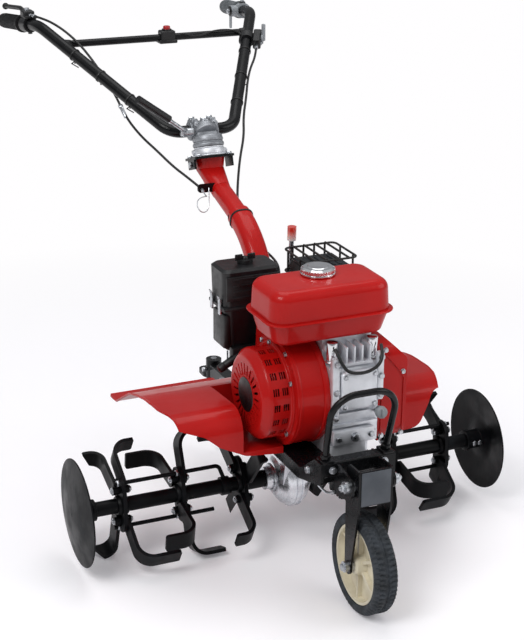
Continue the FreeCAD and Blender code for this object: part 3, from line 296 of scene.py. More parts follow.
def moulded_plastic(name, first, second, rough):
    """Injection moulded ABS with a spark-eroded grain, drawn a little coarse so that it shows."""
    return finish(name, (35, 3, first, second), (14, 3, rough - 0.05, rough + 0.08),
                  (0.9, 1, 0.06, 0.5), IOR=1.5)


def rubber(name, first, second, rough):
    """Vulcanised rubber: dull, with a fine bloom that greys it in patches."""
    return finish(name, (22, 5, first, second), (10, 4, rough - 0.06, rough + 0.1),
                  (1.2, 2, 0.1, 0.4), IOR=1.52, Specular_IOR_Level=0.4)


def heat_paint():
    """Matt silicone paint on the exhaust, slightly brown where it runs hot."""
    return finish("silicone_exhaust_paint", (40, 5, "#101011", "#1D1A18"), (10, 4, 0.5, 0.68),
                  (1.5, 3, 0.1, 0.5), IOR=1.5)


SHIFT_KNOB_BAND = (570, 600)


def knob_resin():
    """Cast polyester knob: translucent red over a milky core."""
    material, tree = new_material("cast_polyester_resin")
    coordinates = add(tree, "ShaderNodeTexCoord")
    height = add(tree, "ShaderNodeSeparateXYZ", {0: (coordinates, "Object")})
    rise = span(tree, height, "Z", 0, 1, SHIFT_KNOB_BAND[0] * MM, SHIFT_KNOB_BAND[1] * MM)
    color = add(tree, "ShaderNodeValToRGB", {0: (rise, 0)})
    set_ramp(color, [(0.0, "#E9D9D6"), (0.45, "#DC8E86"), (0.7, "#C93A2E")])
    surface(tree, (color, 0), 0.12, None, Coat_Weight=0.5, Subsurface_Weight=0.25, IOR=1.52)
    return material


# ---------------------------------------------------------------- modelling helpers


def place(x, y, z):
    """Point in millimetres from the floor below the axle, in metres in the frame."""
    return FLOOR_POINT + Vector((x, y, z)) * MM


def turn_to(direction):
    """Rotation that takes +Z to the direction."""
    return Vector(direction).to_track_quat("Z", "Y").to_matrix().to_4x4()


def finish_piece(bm, name, material, body=None, smooth=40):
    """Writes a bmesh to an object at the origin; edges sharper than smooth degrees stay sharp."""
    bmesh.ops.remove_doubles(bm, verts=bm.verts, dist=1e-6)
    bmesh.ops.recalc_face_normals(bm, faces=bm.faces)
    mesh = bpy.data.meshes.new(name)
    bm.to_mesh(mesh)
    bm.free()
    mesh.shade_smooth()
    mesh.set_sharp_from_angle(angle=math.radians(smooth))
    piece = bpy.data.objects.new(name, mesh)
    bpy.context.scene.collection.objects.link(piece)
    if material is not None:
        mesh.materials.append(material)
    if body is not None:
        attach(piece, body)
    return piece


def cylinder(bm, start, end, radius, end_radius=None, sides=24, soften=0.0):
    """Rod or cone between two points in millimetres, its rims optionally bevelled."""
    a, b = place(*start), place(*end)
    matrix = Matrix.Translation((a + b) / 2) @ turn_to(b - a)
    far = radius if end_radius is None else end_radius
    made = bmesh.ops.create_cone(bm, cap_ends=True, segments=sides, radius1=radius * MM,
                                 radius2=far * MM, depth=(b - a).length, matrix=matrix)
    if soften:
        rims = [e for e in {e for v in made["verts"] for e in v.link_edges}
                if any(len(f.verts) == sides for f in e.link_faces)]
        bmesh.ops.bevel(bm, geom=rims, offset=soften * MM, affect="EDGES", segments=2, profile=0.5,
                        material=-1)
    return made["verts"]


def box(bm, low, high, soften=1.0, segments=2, turn=None, about=None):
    """Block between two corners in millimetres, its edges bevelled, optionally turned."""
    a, b = place(*low), place(*high)
    matrix = Matrix.Translation((a + b) / 2) @ Matrix.Diagonal((b - a).to_4d())
    made = bmesh.ops.create_cube(bm, size=1, matrix=matrix)["verts"]
    if soften:
        edges = list({e for v in made for e in v.link_edges})
        made = bmesh.ops.bevel(bm, geom=edges, offset=soften * MM, affect="EDGES", segments=segments,
                               profile=0.5, material=-1)["verts"]
    if turn is not None:
        bmesh.ops.rotate(bm, verts=made, cent=place(*about), matrix=turn)
    return made


def hex_bolt(bm, at, axis, size=8.0, washer=True):
    """Hexagon head on a washer; size is the thread's diameter and axis points out of the head."""
    axis = Vector(axis).normalized()
    at = Vector(at)
    if washer:
        cylinder(bm, at, at + axis * size * 0.18, size * 1.05, sides=20, soften=0.3)
    base = at + axis * (size * 0.18 if washer else 0)
    cylinder(bm, base, base + axis * size * 0.6, size * 0.92, sides=6, soften=size * 0.07)


def dome_nut(bm, at, axis, size=8.0):
    """Nut with the rounded thread end standing out of it."""
    axis = Vector(axis).normalized()
    at = Vector(at)
    cylinder(bm, at, at + axis * size * 0.16, size * 1.05, sides=20, soften=0.3)
    cylinder(bm, at + axis * size * 0.16, at + axis * size * 0.85, size * 0.92, sides=6, soften=size * 0.07)
    cylinder(bm, at + axis * size * 0.85, at + axis * size * 1.25, size * 0.5, size * 0.42, sides=16,
             soften=0.4)


def wire(bm, points, radius, sides=10):
    """Bent wire through points in millimetres: a ring extruded and mitred at each point."""
    path = [place(*p) for p in points]
    ways = [(b - a).normalized() for a, b in zip(path, path[1:])]
    ring = bmesh.ops.create_circle(bm, cap_ends=True, segments=sides, radius=radius * MM,
                                   matrix=Matrix.Translation(path[0]) @ turn_to(ways[0]))["verts"]
    edges = list({e for v in ring for e in v.link_edges if all(w in ring for w in e.verts)})
    for i, point in enumerate(path[1:], 1):
        grown = bmesh.ops.extrude_edge_only(bm, edges=edges)["geom"]
        ring = [g for g in grown if isinstance(g, bmesh.types.BMVert)]
        edges = [g for g in grown if isinstance(g, bmesh.types.BMEdge)]
        before = ways[i - 1]
        after = ways[min(i, len(ways) - 1)]
        normal = (before + after).normalized()
        for vert in ring:
            reach = (point - vert.co).dot(normal) / before.dot(normal)
            vert.co += before * reach
    bmesh.ops.holes_fill(bm, edges=edges, sides=sides)


def smooth_route(points, steps=8):
    """Points read from an even curve through given control points in millimetres."""
    curve = bpy.data.curves.new("route", "CURVE")
    curve.dimensions = "3D"
    curve.resolution_u = steps
    spline = curve.splines.new("NURBS")
    spline.points.add(len(points) - 1)
    for point, at in zip(spline.points, points):
        point.co = (*at, 1)
    spline.order_u = 3
    spline.use_endpoint_u = True
    holder = bpy.data.objects.new("route", curve)
    mesh = bpy.data.meshes.new_from_object(holder)
    path = [tuple(v.co) for v in mesh.vertices]
    bpy.data.objects.remove(holder)
    bpy.data.curves.remove(curve)
    bpy.data.meshes.remove(mesh)
    return path


def paint(material, *names):
    """Gives carried pieces their finish."""
    for name in names:
        mesh = NODES[name].data
        mesh.materials.clear()
        mesh.materials.append(material)


# ---------------------------------------------------------------- places on the machine, in mm

CRANK = (-96, 356)
STARTER_FACE = -133
DRUM_FACE = -74
FLANGE_FACE = -78
SHELF = 448
TANK_SEAM = 518
CAP = (6, -106)
HEAD_PLUG = (40, 384)
ROTOR_HEIGHT = 124
SET_PLACES = (103, 230, 350)
WHEEL_AXLE = (-335, 95)
HITCH_PIN = 394
HEAD_ORIGIN = (409, 673)
HEAD_LEAN = math.radians(17.5)
BAR_SEAT = (453, 724)
COLUMN_SLOPE = (0, 0.9481, 0.318)


# ---------------------------------------------------------------- engine details


def build(name, material, body, make, smooth=40):
    """One piece: make fills the bmesh in millimetres."""
    bm = bmesh.new()
    make(bm)
    return finish_piece(bm, name, material, body, smooth)


def ring_point(radius, degrees, x):
    """Point on a circle about the crankshaft, degrees up from the front."""
    angle = math.radians(degrees)
    return (x, CRANK[0] - radius * math.cos(angle), CRANK[1] + radius * math.sin(angle))


def starter_details():
    def plate(bm):
        cylinder(bm, (STARTER_FACE + 1, *CRANK), (STARTER_FACE - 1.6, *CRANK), 33, sides=64, soften=1.2)
    build("starter_centre", BLACK_ABS, "machine", plate)

    def screws(bm):
        for degrees in (28, 100, 172, 244, 316):
            hex_bolt(bm, ring_point(91, degrees, FLANGE_FACE), (-1, 0, 0), 5)
        for degrees in (62, 128):
            hex_bolt(bm, ring_point(99.5, degrees, DRUM_FACE), (-1, 0, 0), 5)
    build("starter_screws", ZINC, "machine", screws)

    def band(bm):
        cylinder(bm, (-21, *CRANK), (-9, *CRANK), 108, sides=96, soften=2)
        cylinder(bm, (-70, *CRANK), (-64, *CRANK), 106, sides=96, soften=1)
    build("drum_bands", RED, "machine", band)

    def inside(bm):
        cylinder(bm, (DRUM_FACE - 6, *CRANK), (DRUM_FACE - 12, *CRANK), 70, sides=48, soften=1)
        cylinder(bm, (DRUM_FACE - 12, *CRANK), (STARTER_FACE + 14, *CRANK), 40, sides=32, soften=1)
    build("starter_pulley", EXHAUST, "machine", inside)


def vent_rings():
    """Thin rings that split the starter's side vents into narrow slots."""
    def rings(bm):
        for x in (STARTER_FACE + 26, STARTER_FACE + 44):
            for shift in (-2.1, 2.1):
                hoop = [ring_point(85.4, 5 * i, x + shift) for i in range(72)]
                wire(bm, hoop + hoop[:2], 0.9, 6)
    build("vent_rings", RED, "machine", rings, 60)


def crankcase_details():
    def castings(bm):
        box(bm, (-9, -209, 318), (6, -194, 446), 3)
        box(bm, (8, -213, 340), (84, -196, 418), 9, 4)
        box(bm, (84, -207, 352), (97, -194, 446), 2.5)
        box(bm, (-6, -212, 273), (80, -198, 303), 5)
        for x in (2, 84):
            cylinder(bm, (x, -158, SHELF + 6), (x, -166, SHELF + 6), 8, sides=24, soften=1)
        box(bm, (14, -199, 424), (78, -163, 431), 2)
        for x in (22, 38, 54, 70):
            box(bm, (x, -198, 430), (x + 4, -163, 462), 1)
    build("crankcase_castings", CAST, "machine", castings)

    def bosses(bm):
        for x in (2, 84):
            cylinder(bm, (x, -180, 431), (x, -180, 470), 10.5, sides=40, soften=1.6)
            cylinder(bm, (x, -180, 431), (x, -180, 435), 13, sides=40, soften=1)
    build("tank_bosses", CHROME, "machine", bosses)

    def bolts(bm):
        for x, z in ((-1, 436), (-1, 380), (-1, 330), (91, 437), (91, 400), (91, 362)):
            y = -209 if x < 0 else -207
            hex_bolt(bm, (x, y, z), (0, -1, 0), 6)
        hex_bolt(bm, (38, -212, 288), (0, -1, 0), 9)
        for x in (4, 72):
            hex_bolt(bm, (x, -212, 288), (0, -1, 0), 6)
        for x, z in ((16, 350), (76, 350), (16, 409), (76, 409)):
            hex_bolt(bm, (x, -212, z), (0, -1, 0), 5)
    build("crankcase_bolts", ZINC, "machine", bolts)

    def hose(bm):
        route = [(0, -196, 462), (3, -212, 446), (14, -217, 424), (34, -219, 417), (60, -219, 417),
                 (82, -216, 426), (92, -210, 444), (94, -196, 458)]
        wire(bm, smooth_route(route), 3.2, 14)
    build("breather_hose", SHEATH, "machine", hose)

    def filler(bm):
        cylinder(bm, (88, -206, 331), (88, -213, 331), 9, sides=32, soften=1)
        cylinder(bm, (88, -213, 331), (88, -224, 331), 12, 11, sides=40, soften=2.5)
        box(bm, (85.6, -228, 322), (90.4, -222, 340), 1.6)
    build("oil_filler", GREY_ABS, "machine", filler)

    def fins(bm):
        for i in range(9):
            z = 326 + i * 13
            box(bm, (-6, 92, z), (88, 100, z + 3), 0.8)
        x, z = HEAD_PLUG
        cylinder(bm, (x, 92, z), (x, 108, z), 16, 14, sides=32, soften=2)
    build("cylinder_head_fins", CAST, "machine", fins)

    def plug(bm):
        x, z = HEAD_PLUG
        cylinder(bm, (x, 108, z), (x, 122, z), 6, sides=6, soften=0.5)
        route = [(x, 116, z), (10, 120, 396), (-34, 100, 410), (-52, 50, 420), (-62, 0, 424), (-66, -30, 420)]
        wire(bm, smooth_route(route), 3.4, 10)
    build("spark_lead", SHEATH, "machine", plug)


def tank_details():
    def seam(bm):
        route = []
        for cx, cy, start in ((94, -86, 0), (-89, -86, 90), (-89, -162, 180), (94, -162, 270)):
            for step in range(7):
                angle = math.radians(start + 15 * step)
                route.append((cx + 34.5 * math.cos(angle), cy + 34.5 * math.sin(angle), TANK_SEAM))
        wire(bm, route + route[:2], 2.0, 8)
    build("tank_seam_bead", RED, "machine", seam)

    def cap(bm):
        cylinder(bm, (*CAP, 578), (*CAP, 582), 33, sides=64, soften=1)
        cylinder(bm, (*CAP, 581), (*CAP, 590), 31.4, 30.6, sides=64, soften=1.6)
        for i in range(36):
            turn = Matrix.Rotation(math.tau * i / 36, 4, "Z")
            box(bm, (36.2, -107, 582), (37.8, -105, 589), 0.4, 1, turn, (*CAP, 585))
        cylinder(bm, (*CAP, 590), (*CAP, 592.6), 21, 17, sides=48, soften=0.8)
    build("cap_skirt", CHROME, "machine", cap)


def cleaner_details():
    def shell(bm):
        box(bm, (-131, 15, 479), (-11, 93.5, 487), 2.5)
        box(bm, (-126, 13, 500), (-16, 17, 548), 2)
        for z in (506, 518, 530, 542):
            box(bm, (-112, 11.6, z - 2), (-30, 14, z + 2), 0.8)
        cylinder(bm, (-71, 54.5, 566), (-71, 54.5, 573), 7, 5, sides=24, soften=1)
        for side in (-1, 1):
            box(bm, (-71 + side * 13 - 8, 52.5, 566), (-71 + side * 13 + 8, 56.5, 578), 1.6)
        box(bm, (-127, 24, 400), (-112, 84, 470), 5)
    build("cleaner_mouldings", BLACK_ABS, "machine", shell)

    def clips(bm):
        for y in (34, 74):
            box(bm, (-134, y - 5, 470), (-130, y + 5, 500), 1)
            wire(bm, [(-133, y - 4, 500), (-135, y - 4, 506), (-135, y + 4, 506), (-133, y + 4, 500)], 1.2, 8)
        hex_bolt(bm, (-71, 54.5, 560.4), (0, 0, 1), 9)
    build("cleaner_clips", ZINC, "machine", clips)

    def levers(bm):
        box(bm, (-60, 22, 352), (-14, 30, 392), 3)
        box(bm, (-112, 18, 374), (-56, 38, 402), 4)
        cylinder(bm, (-92, 22, 386), (-132, 16, 370), 10, 7.5, sides=28, soften=2)
        cylinder(bm, (-129, 16.5, 371), (-142, 14, 365.5), 9, 8, sides=28, soften=2.5)
        cylinder(bm, (-88, 28, 376), (-88, 28, 352), 6, sides=20, soften=1)
    build("choke_lever", BLACK_ABS, "machine", levers)


def muffler_details():
    def shield(bm):
        box(bm, (42, 0, 541), (130, 88, 546), 2)
        box(bm, (44, -1, 470), (128, 3, 541), 1.5)
        for x in (58, 72, 86, 100, 114):
            box(bm, (x - 3, -2.6, 482), (x + 3, -0.4, 530), 1)
            box(bm, (x - 3, 14, 545.4), (x + 3, 74, 547.6), 1)
    build("heat_shield", SHIELD, "machine", shield)

    def outlet(bm):
        cylinder(bm, (120, 84, 486), (120, 96, 486), 10, sides=24, soften=1)
        cylinder(bm, (66, 60, 446), (66, 60, 462), 14, sides=24, soften=1)
        for x in (56, 76):
            hex_bolt(bm, (x, 80, 452), (0, 1, 0), 6)
    build("muffler_outlet", EXHAUST, "machine", outlet)


def cover_details():
    def screws(bm):
        for x, z in ((110, 440), (148, 392), (148, 268), (106, 268)):
            hex_bolt(bm, (x, -186, z), (0, -1, 0), 5)
        for y, z in ((-160, 392), (-60, 398), (40, 390), (-60, 352), (70, 340)):
            hex_bolt(bm, (157, y, z), (1, 0, 0), 5)
    build("cover_screws", ZINC, "machine", screws)

    def bead(bm):
        box(bm, (96.5, -187, 258), (100.5, 80, 262), 1)
        wire(bm, [(104, -187.2, 272), (104, -187.2, 420), (112, -187.2, 430), (140, -187.2, 396),
                  (150, -187.2, 380), (150, -187.2, 272)], 1.3, 8)
    build("cover_bead", RED, "machine", bead)


# ---------------------------------------------------------------- frame, fenders, column and wheel


def surface_at(name, start, way):
    """Where a ray in millimetres first meets a carried piece, in millimetres, or None."""
    node = NODES[name]
    to_local = node.matrix_world.inverted()
    origin = to_local @ place(*start)
    hit, at, _, _ = node.ray_cast(origin, (to_local.to_3x3() @ Vector(way)).normalized())
    if not hit:
        return None
    world = node.matrix_world @ at
    return tuple((world - FLOOR_POINT) / MM)


def fender_details(side, way):
    node = f"fender_{side}"

    def beads(bm):
        edge = []
        for y in range(208, -132, -10):
            for x in range(306, 240, -1):
                at = surface_at(node, (way * x, y, 400), (0, 0, -1))
                if at is not None and at[2] > 255:
                    edge.append((at[0] - way * 1.5, at[1], at[2] - 1.2))
                    break
        wire(bm, edge, 2.2, 8)
        hem, crease = (296, 290) if way < 0 else (286, 282)
        wire(bm, [(way * 80, 213, 261), (way * hem, 213, 261)], 2.2, 8)
        wire(bm, [(way * 80, 168, 266.4), (way * crease, 168, 266.4)], 1.3, 8)
    build(f"fender_beads_{side}", RED, "machine", beads)

    def bolts(bm):
        for y in (40, 80):
            hex_bolt(bm, (way * 77, y, 236), (way, 0, 0), 6)
        for x, y in ((92, 120), (92, 150)):
            at = surface_at(node, (way * x, y, 400), (0, 0, -1))
            if at:
                hex_bolt(bm, at, (0, 0, 1), 6)
    build(f"fender_bolts_{side}", ZINC, "machine", bolts)


def column_details():
    def straps(bm):
        wire(bm, girth("column_sleeve", (0, 240, 588), COLUMN_SLOPE), 2.4, 8)
        wire(bm, girth("column_sleeve", (0, 118, 500), Z), 2.0, 8)
        wire(bm, girth("column_sleeve", (0, 118, 380), Z), 2.0, 8)
    build("column_straps", SHEATH, "machine", straps)

    def loop(bm):
        route = [(-28, 348, 630), (-30, 338, 606), (-36, 330, 584), (-52, 326, 582), (-62, 330, 596),
                 (-54, 340, 612), (-34, 342, 612)]
        wire(bm, smooth_route(route), 1.1, 8)
        cylinder(bm, (-44, 346, 627.4), (-44, 336, 623.8), 3.4, sides=6, soften=0.3)
        cylinder(bm, (-44, 336, 623.8), (-44, 322, 618.6), 1.4, sides=10)
    build("clutch_wire", ZINC, "machine", loop)

    def bolts(bm):
        for x in (-26, 26):
            for y in (-26, 28):
                hex_bolt(bm, head(x * 1.3, y, 5), head_way(0, 0, 1), 6)
        for side in (-1, 1):
            cylinder(bm, head(side * 44, -2, -10), head(side * 49, -2, -10), 6, sides=6, soften=0.5)
    build("column_plate_bolts", ZINC, "machine", bolts)

    def weld(bm):
        wire(bm, girth("column_sleeve", (0, 118, 250), Z), 2.4, 8)
        for side in (-1, 1):
            box(bm, (side * 36 - 12, 96, 247), (side * 36 + 12, 142, 252), 1.5)
    build("column_foot", BLACK, "machine", weld)

    def foot_bolts(bm):
        for x in (-38, 38):
            for y in (104, 134):
                hex_bolt(bm, (x, y, 252), (0, 0, 1), 7)
                dome_nut(bm, (x, y, 241), (0, 0, -1), 7)
    build("column_foot_bolts", ZINC, "machine", foot_bolts)


def girth(node, at, normal):
    """Closed loop of points in millimetres round a carried piece, where a plane cuts it widest.

    Known fault: the first vertex comes from a set, so the points kept differ a little from run to run.
    """
    bm = bmesh.new()
    bm.from_mesh(NODES[node].data)
    bmesh.ops.remove_doubles(bm, verts=bm.verts, dist=1e-6)
    cut = bmesh.ops.bisect_plane(bm, geom=bm.verts[:] + bm.edges[:] + bm.faces[:], plane_co=place(*at),
                                 plane_no=Vector(normal), clear_inner=True, clear_outer=True)["geom_cut"]
    left = {g for g in cut if isinstance(g, bmesh.types.BMVert)}
    loops = []
    while left:
        vert = left.pop()
        loop = [vert]
        while vert is not None:
            near = [e.other_vert(vert) for e in vert.link_edges]
            vert = next((v for v in near if v in left), None)
            if vert is not None:
                left.remove(vert)
                loop.append(vert)
        loops.append([v.co.copy() for v in loop])
    bm.free()
    widest = max(loops, key=lambda loop: max((p - loop[0]).length for p in loop))
    kept = [widest[0]]
    for point in widest[1:]:
        if (point - kept[-1]).length > 2.5 * MM and (point - kept[0]).length > 2.5 * MM:
            kept.append(point)
    points = [tuple((p - FLOOR_POINT) / MM) for p in kept]
    return points + points[:2]


def head(x, y, z):
    """Point in the tilted head's own directions, measured from the column plate."""
    return (x, HEAD_ORIGIN[0] + y * math.cos(HEAD_LEAN) + z * math.sin(HEAD_LEAN),
            HEAD_ORIGIN[1] - y * math.sin(HEAD_LEAN) + z * math.cos(HEAD_LEAN))


def head_way(x, y, z):
    """Direction given in the tilted head's own directions."""
    return (x, y * math.cos(HEAD_LEAN) + z * math.sin(HEAD_LEAN),
            z * math.cos(HEAD_LEAN) - y * math.sin(HEAD_LEAN))


def frame_details():
    def bolts(bm):
        for x, y in ((-2, -190), (66, -190), (-2, 8), (66, 8)):
            hex_bolt(bm, (x, y, 271), (0, 0, 1), 8)
            dome_nut(bm, (x, y, 241), (0, 0, -1), 8)
        for way in (-1, 1):
            for y in (-292, -284):
                cylinder(bm, (way * 60, y, 290), (way * 60, y, 291), 3, sides=12)
            hex_bolt(bm, (way * 75, -250, 258), (way, 0, 0), 7)
            hex_bolt(bm, (way * 75, 120, 234), (way, 0, 0), 7)
            hex_bolt(bm, (way * 52, -302, 276), (0, -1, 0), 7)
            dome_nut(bm, (way * 52, -348, 262), (way, 0, 0), 8)
    build("frame_bolts", ZINC, "machine", bolts)

    def plates(bm):
        for way in (-1, 1):
            box(bm, (way * 60 - 11, -303, 288), (way * 60 + 11, -273, 294), 2)
            cylinder(bm, (way * 60, -288, 290), (way * 60.6, -291, 304), 9, sides=28, soften=1.5)
    build("guard_feet", BLACK, "machine", plates)

    def latch(bm):
        hook = [(-47, -300, 232), (-47, -286, 222), (-52, -268, 218), (-60, -262, 230)]
        wire(bm, smooth_route(hook), 2.4, 10)
        cylinder(bm, (-47, -290, 224), (-34, -290, 224), 3, sides=16, soften=0.4)
    build("fork_latch", ZINC, "machine", latch)

    def case(bm):
        for i in range(6):
            angle = math.radians(30 + 60 * i)
            y, z = 55 * math.cos(angle), ROTOR_HEIGHT + 55 * math.sin(angle)
            if z < 150:
                hex_bolt(bm, (-12, y, z), (-1, 0, 0), 5, washer=False)
                dome_nut(bm, (12, y, z), (1, 0, 0), 5)
        cylinder(bm, (0, 0, 61), (0, 0, 57), 7, sides=6, soften=0.5)
        for x, y in ((-30, -58), (30, -58), (-30, 68), (30, 68)):
            cylinder(bm, (x, y, 229), (x, y, 223), 6, sides=6, soften=0.5)
        for way in (-1, 1):
            cylinder(bm, (way * 37, 0, ROTOR_HEIGHT), (way * 41, 0, ROTOR_HEIGHT), 29, 26, sides=48, soften=1)
    build("gear_case_bolts", ZINC, "machine", case)

    def hitch(bm):
        turns = [i * math.pi / 16 for i in range(32)]
        rim = [(13.5 * math.cos(turn), HITCH_PIN + 13.5 * math.sin(turn), 212) for turn in turns]
        wire(bm, rim + rim[:2], 3, 8)
        for side in (-1, 1):
            cylinder(bm, (side * 17, HITCH_PIN, 205), (side * 27, HITCH_PIN, 205), 5, sides=6, soften=0.5)
        wire(bm, [(27, HITCH_PIN, 205), (33, HITCH_PIN, 205), (33, HITCH_PIN, 240)], 2.2, 8)
    build("hitch_bolts", ZINC, "machine", hitch)


def fork_details():
    def plate(bm):
        box(bm, (-29, -372.4, 230), (29, -369.4, 295), 1.2)
    build("fork_plate", GREY_ENAMEL, "fork", plate)

    def nuts(bm):
        for way in (-1, 1):
            hex_bolt(bm, (way * 42, *WHEEL_AXLE), (way, 0, 0), 8, washer=False)
    build("fork_nuts", ZINC, "fork", nuts)


TREAD_STEPS = 180
TREAD_DEPTH = 3.4
TREAD_PERIOD = 3
TREAD_SHIFT = 11


def tyre():
    """Tyre with a groove round its middle and slanting tread bars on both sides."""
    bm = bmesh.new()
    outline = [(-17, 75), (-21, 77), (-23, 81), (-23, 86), (-20.5, 91.5), (-17, 94), (-15, 95), (-9, 95),
               (-3.6, 95), (-2.4, 91.6), (2.4, 91.6), (3.6, 95), (9, 95), (15, 95), (17, 94), (20.5, 91.5),
               (23, 86), (23, 81), (21, 77), (17, 75)]
    wheel_y, wheel_z = WHEEL_AXLE
    verts = [bm.verts.new(place(x, wheel_y, wheel_z + r)) for x, r in outline]
    edges = [bm.edges.new((a, b)) for a, b in zip(verts, verts[1:])]
    centre = place(0, wheel_y, wheel_z)
    bmesh.ops.spin(bm, geom=verts + edges, cent=centre, axis=X, angle=math.tau, steps=TREAD_STEPS,
                   use_merge=True)
    for vert in bm.verts:
        arm = vert.co - centre
        x = arm.x / MM
        radius = math.hypot(arm.y, arm.z) / MM
        if radius < 91.4 or abs(x) < 3.5:
            continue
        turn = round(math.atan2(arm.z, arm.y) * TREAD_STEPS / math.tau)
        shift = round(abs(x) / TREAD_SHIFT) + (1 if x > 0 else 0)
        if (turn + shift) % TREAD_PERIOD < 1:
            scale = (radius - TREAD_DEPTH) / radius
            vert.co = centre + Vector((arm.x, arm.y * scale, arm.z * scale))
    piece = finish_piece(bm, "tyre_tread", TYRE, None, 30)
    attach(piece, "front_wheel")
    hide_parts("wheel_tyre")


def rotor_details():
    def along(bm, start, end, y, lift, *sizes, **shape):
        """Cylinder along the axle's direction, lift above the axle."""
        z = ROTOR_HEIGHT + lift
        cylinder(bm, (start, y, z), (end, y, z), *sizes, **shape)

    def bolts(bm):
        for way in (-1, 1):
            for x, turn in zip(SET_PLACES, (30, 14, 5)):
                for end in (-1, 1):
                    angle = math.radians(-turn)
                    y, z = -end * 31 * math.sin(angle), end * 31 * math.cos(angle)
                    for face in (-1, 1):
                        inner, middle, outer = [way * x + face * reach for reach in (15.6, 18.6, 21)]
                        along(bm, inner, middle, y, z, 7.4, sides=6, soften=0.6)
                        along(bm, middle, outer, y, z, 4, sides=16, soften=0.4)
            for x in (419, 431):
                cylinder(bm, (way * x, -23, ROTOR_HEIGHT), (way * x, 23, ROTOR_HEIGHT), 3.2, sides=14,
                         soften=0.3)
                for face in (-1, 1):
                    low, high = [(way * x, face * reach, ROTOR_HEIGHT) for reach in (20, 24.5)]
                    cylinder(bm, low, high, 5.6, sides=6, soften=0.4)
            for end in (-1, 1):
                along(bm, way * 354, way * 359, 0, end * 46, 6.6, sides=6, soften=0.5)
                along(bm, way * 234.5, way * 239, 0, end * 46, 6.6, sides=6, soften=0.5)
    build("rotor_bolts", ZINC, "rotor", bolts)

    def collars(bm):
        for way in (-1, 1):
            for x in SET_PLACES:
                for face in (-1, 1):
                    at = way * x + face * 4
                    along(bm, at, at + face * 7, 0, 0, 20.5, 17.5, sides=32, soften=0.8)
            along(bm, way * 128, way * 146, 0, 0, 18.5, sides=32, soften=1)
            along(bm, way * 404, way * 412, 0, 0, 21, sides=32, soften=1)
    build("tube_collars", TINE, "rotor", collars)


# ---------------------------------------------------------------- head, bar and controls

BAR_LOW = Vector((71, *BAR_SEAT))
BAR_ARM = Vector((252, 781, 906))
BAR_END = Vector((275, 985, 888))


def on_arm(share, way=1):
    """Point on the arm's middle line, share of the way up."""
    at = BAR_LOW.lerp(BAR_ARM, share)
    return (way * at.x, at.y, at.z)


def on_grip(back, way=1):
    """Point on the grip's middle line, back millimetres from its end."""
    at = BAR_END + (BAR_ARM - BAR_END).normalized() * back
    return (way * at.x, at.y, at.z)


def arm_way(way=1):
    step = (BAR_ARM - BAR_LOW).normalized()
    return Vector((way * step.x, step.y, step.z))


def swivel_head():
    """Turned ring under a rounded clamp that holds the bar, instead of the plain carried casting."""
    bm = bmesh.new()
    lean = Matrix.Rotation(-HEAD_LEAN, 4, "X")
    cylinder(bm, head(0, 0, 25.3), head(0, 0, 33), 33, sides=64, soften=2)
    cylinder(bm, head(0, 0, 33), head(0, 0, 36), 31, sides=64, soften=0.6)
    cylinder(bm, head(0, 0, 36), head(0, 0, 50), 33, 30, sides=64, soften=3)
    cylinder(bm, head(0, 4, 50), head(0, 12, 60), 29, 27, sides=48, soften=3)
    cylinder(bm, (-31, *BAR_SEAT), (31, *BAR_SEAT), 20.5, sides=48, soften=4)
    box(bm, (-25, 420, 706), (25, 470, 728), 8, 4, lean, (0, 440, 720))
    cylinder(bm, head(0, 6, 64), head(0, 6, 79), 22, 17, sides=40, soften=5)
    for x in (-20, 20):
        cylinder(bm, (x, *BAR_SEAT), (x, 430, 744), 8, 7, sides=24, soften=2)
        box(bm, (x - 7, 440, 736), (x + 7, 472, 748), 3, 3, lean, (x, 456, 740))
    piece = finish_piece(bm, "swivel_clamp", CAST_DARK, None)
    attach(piece, "handle")
    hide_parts("upper_head")


def lower_ring():
    """Turned ring with two lugs on the column's plate, instead of the plain carried casting."""
    bm = bmesh.new()
    cylinder(bm, head(0, 0, 5), head(0, 0, 9), 36, sides=64, soften=1.5)
    cylinder(bm, head(0, 0, 9), head(0, 0, 22), 35, 32.5, sides=64, soften=2)
    cylinder(bm, head(0, 0, 22), head(0, 0, 25), 31, sides=64, soften=0.5)
    for side in (-1, 1):
        low = head(side * 34 - 5, -6, 8)
        box(bm, low, Vector(low) + Vector((10, 12, 10)), 3)
    piece = finish_piece(bm, "swivel_ring", CAST, None)
    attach(piece, "machine")
    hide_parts("lower_head")


def head_details():
    def bolts(bm):
        for x in (-20, 20):
            hex_bolt(bm, (x, 463, 746), head_way(0, 0, 1), 7)
            hex_bolt(bm, (x, 434, 742), head_way(0, -0.5, 1), 6)
        hex_bolt(bm, head(0, 6, 79), head_way(0, 0, 1), 10)
    build("head_bolts", ZINC, "handle", bolts)

    def seal(bm):
        cylinder(bm, head(0, 0, 24.6), head(0, 0, 26), 31.6, sides=64)
    build("swivel_seal", SHEATH, "handle", seal)


def grip_details():
    def ribs(way, reach):
        def make(bm):
            for i in range(15):
                back = 6 + i * 7
                a, b = Vector(on_grip(back, way)), Vector(on_grip(back + 3.4, way))
                cylinder(bm, a, b, reach, sides=32, soften=0.8)
            cylinder(bm, on_grip(-2, way), on_grip(-4.7, way), 15, 11, sides=32, soften=1)
        return make
    build("grip_ribs_left", GRIP_BLACK, "handle", ribs(-1, 17))
    build("grip_ribs_right", GRIP_GREY, "handle", ribs(1, 17))


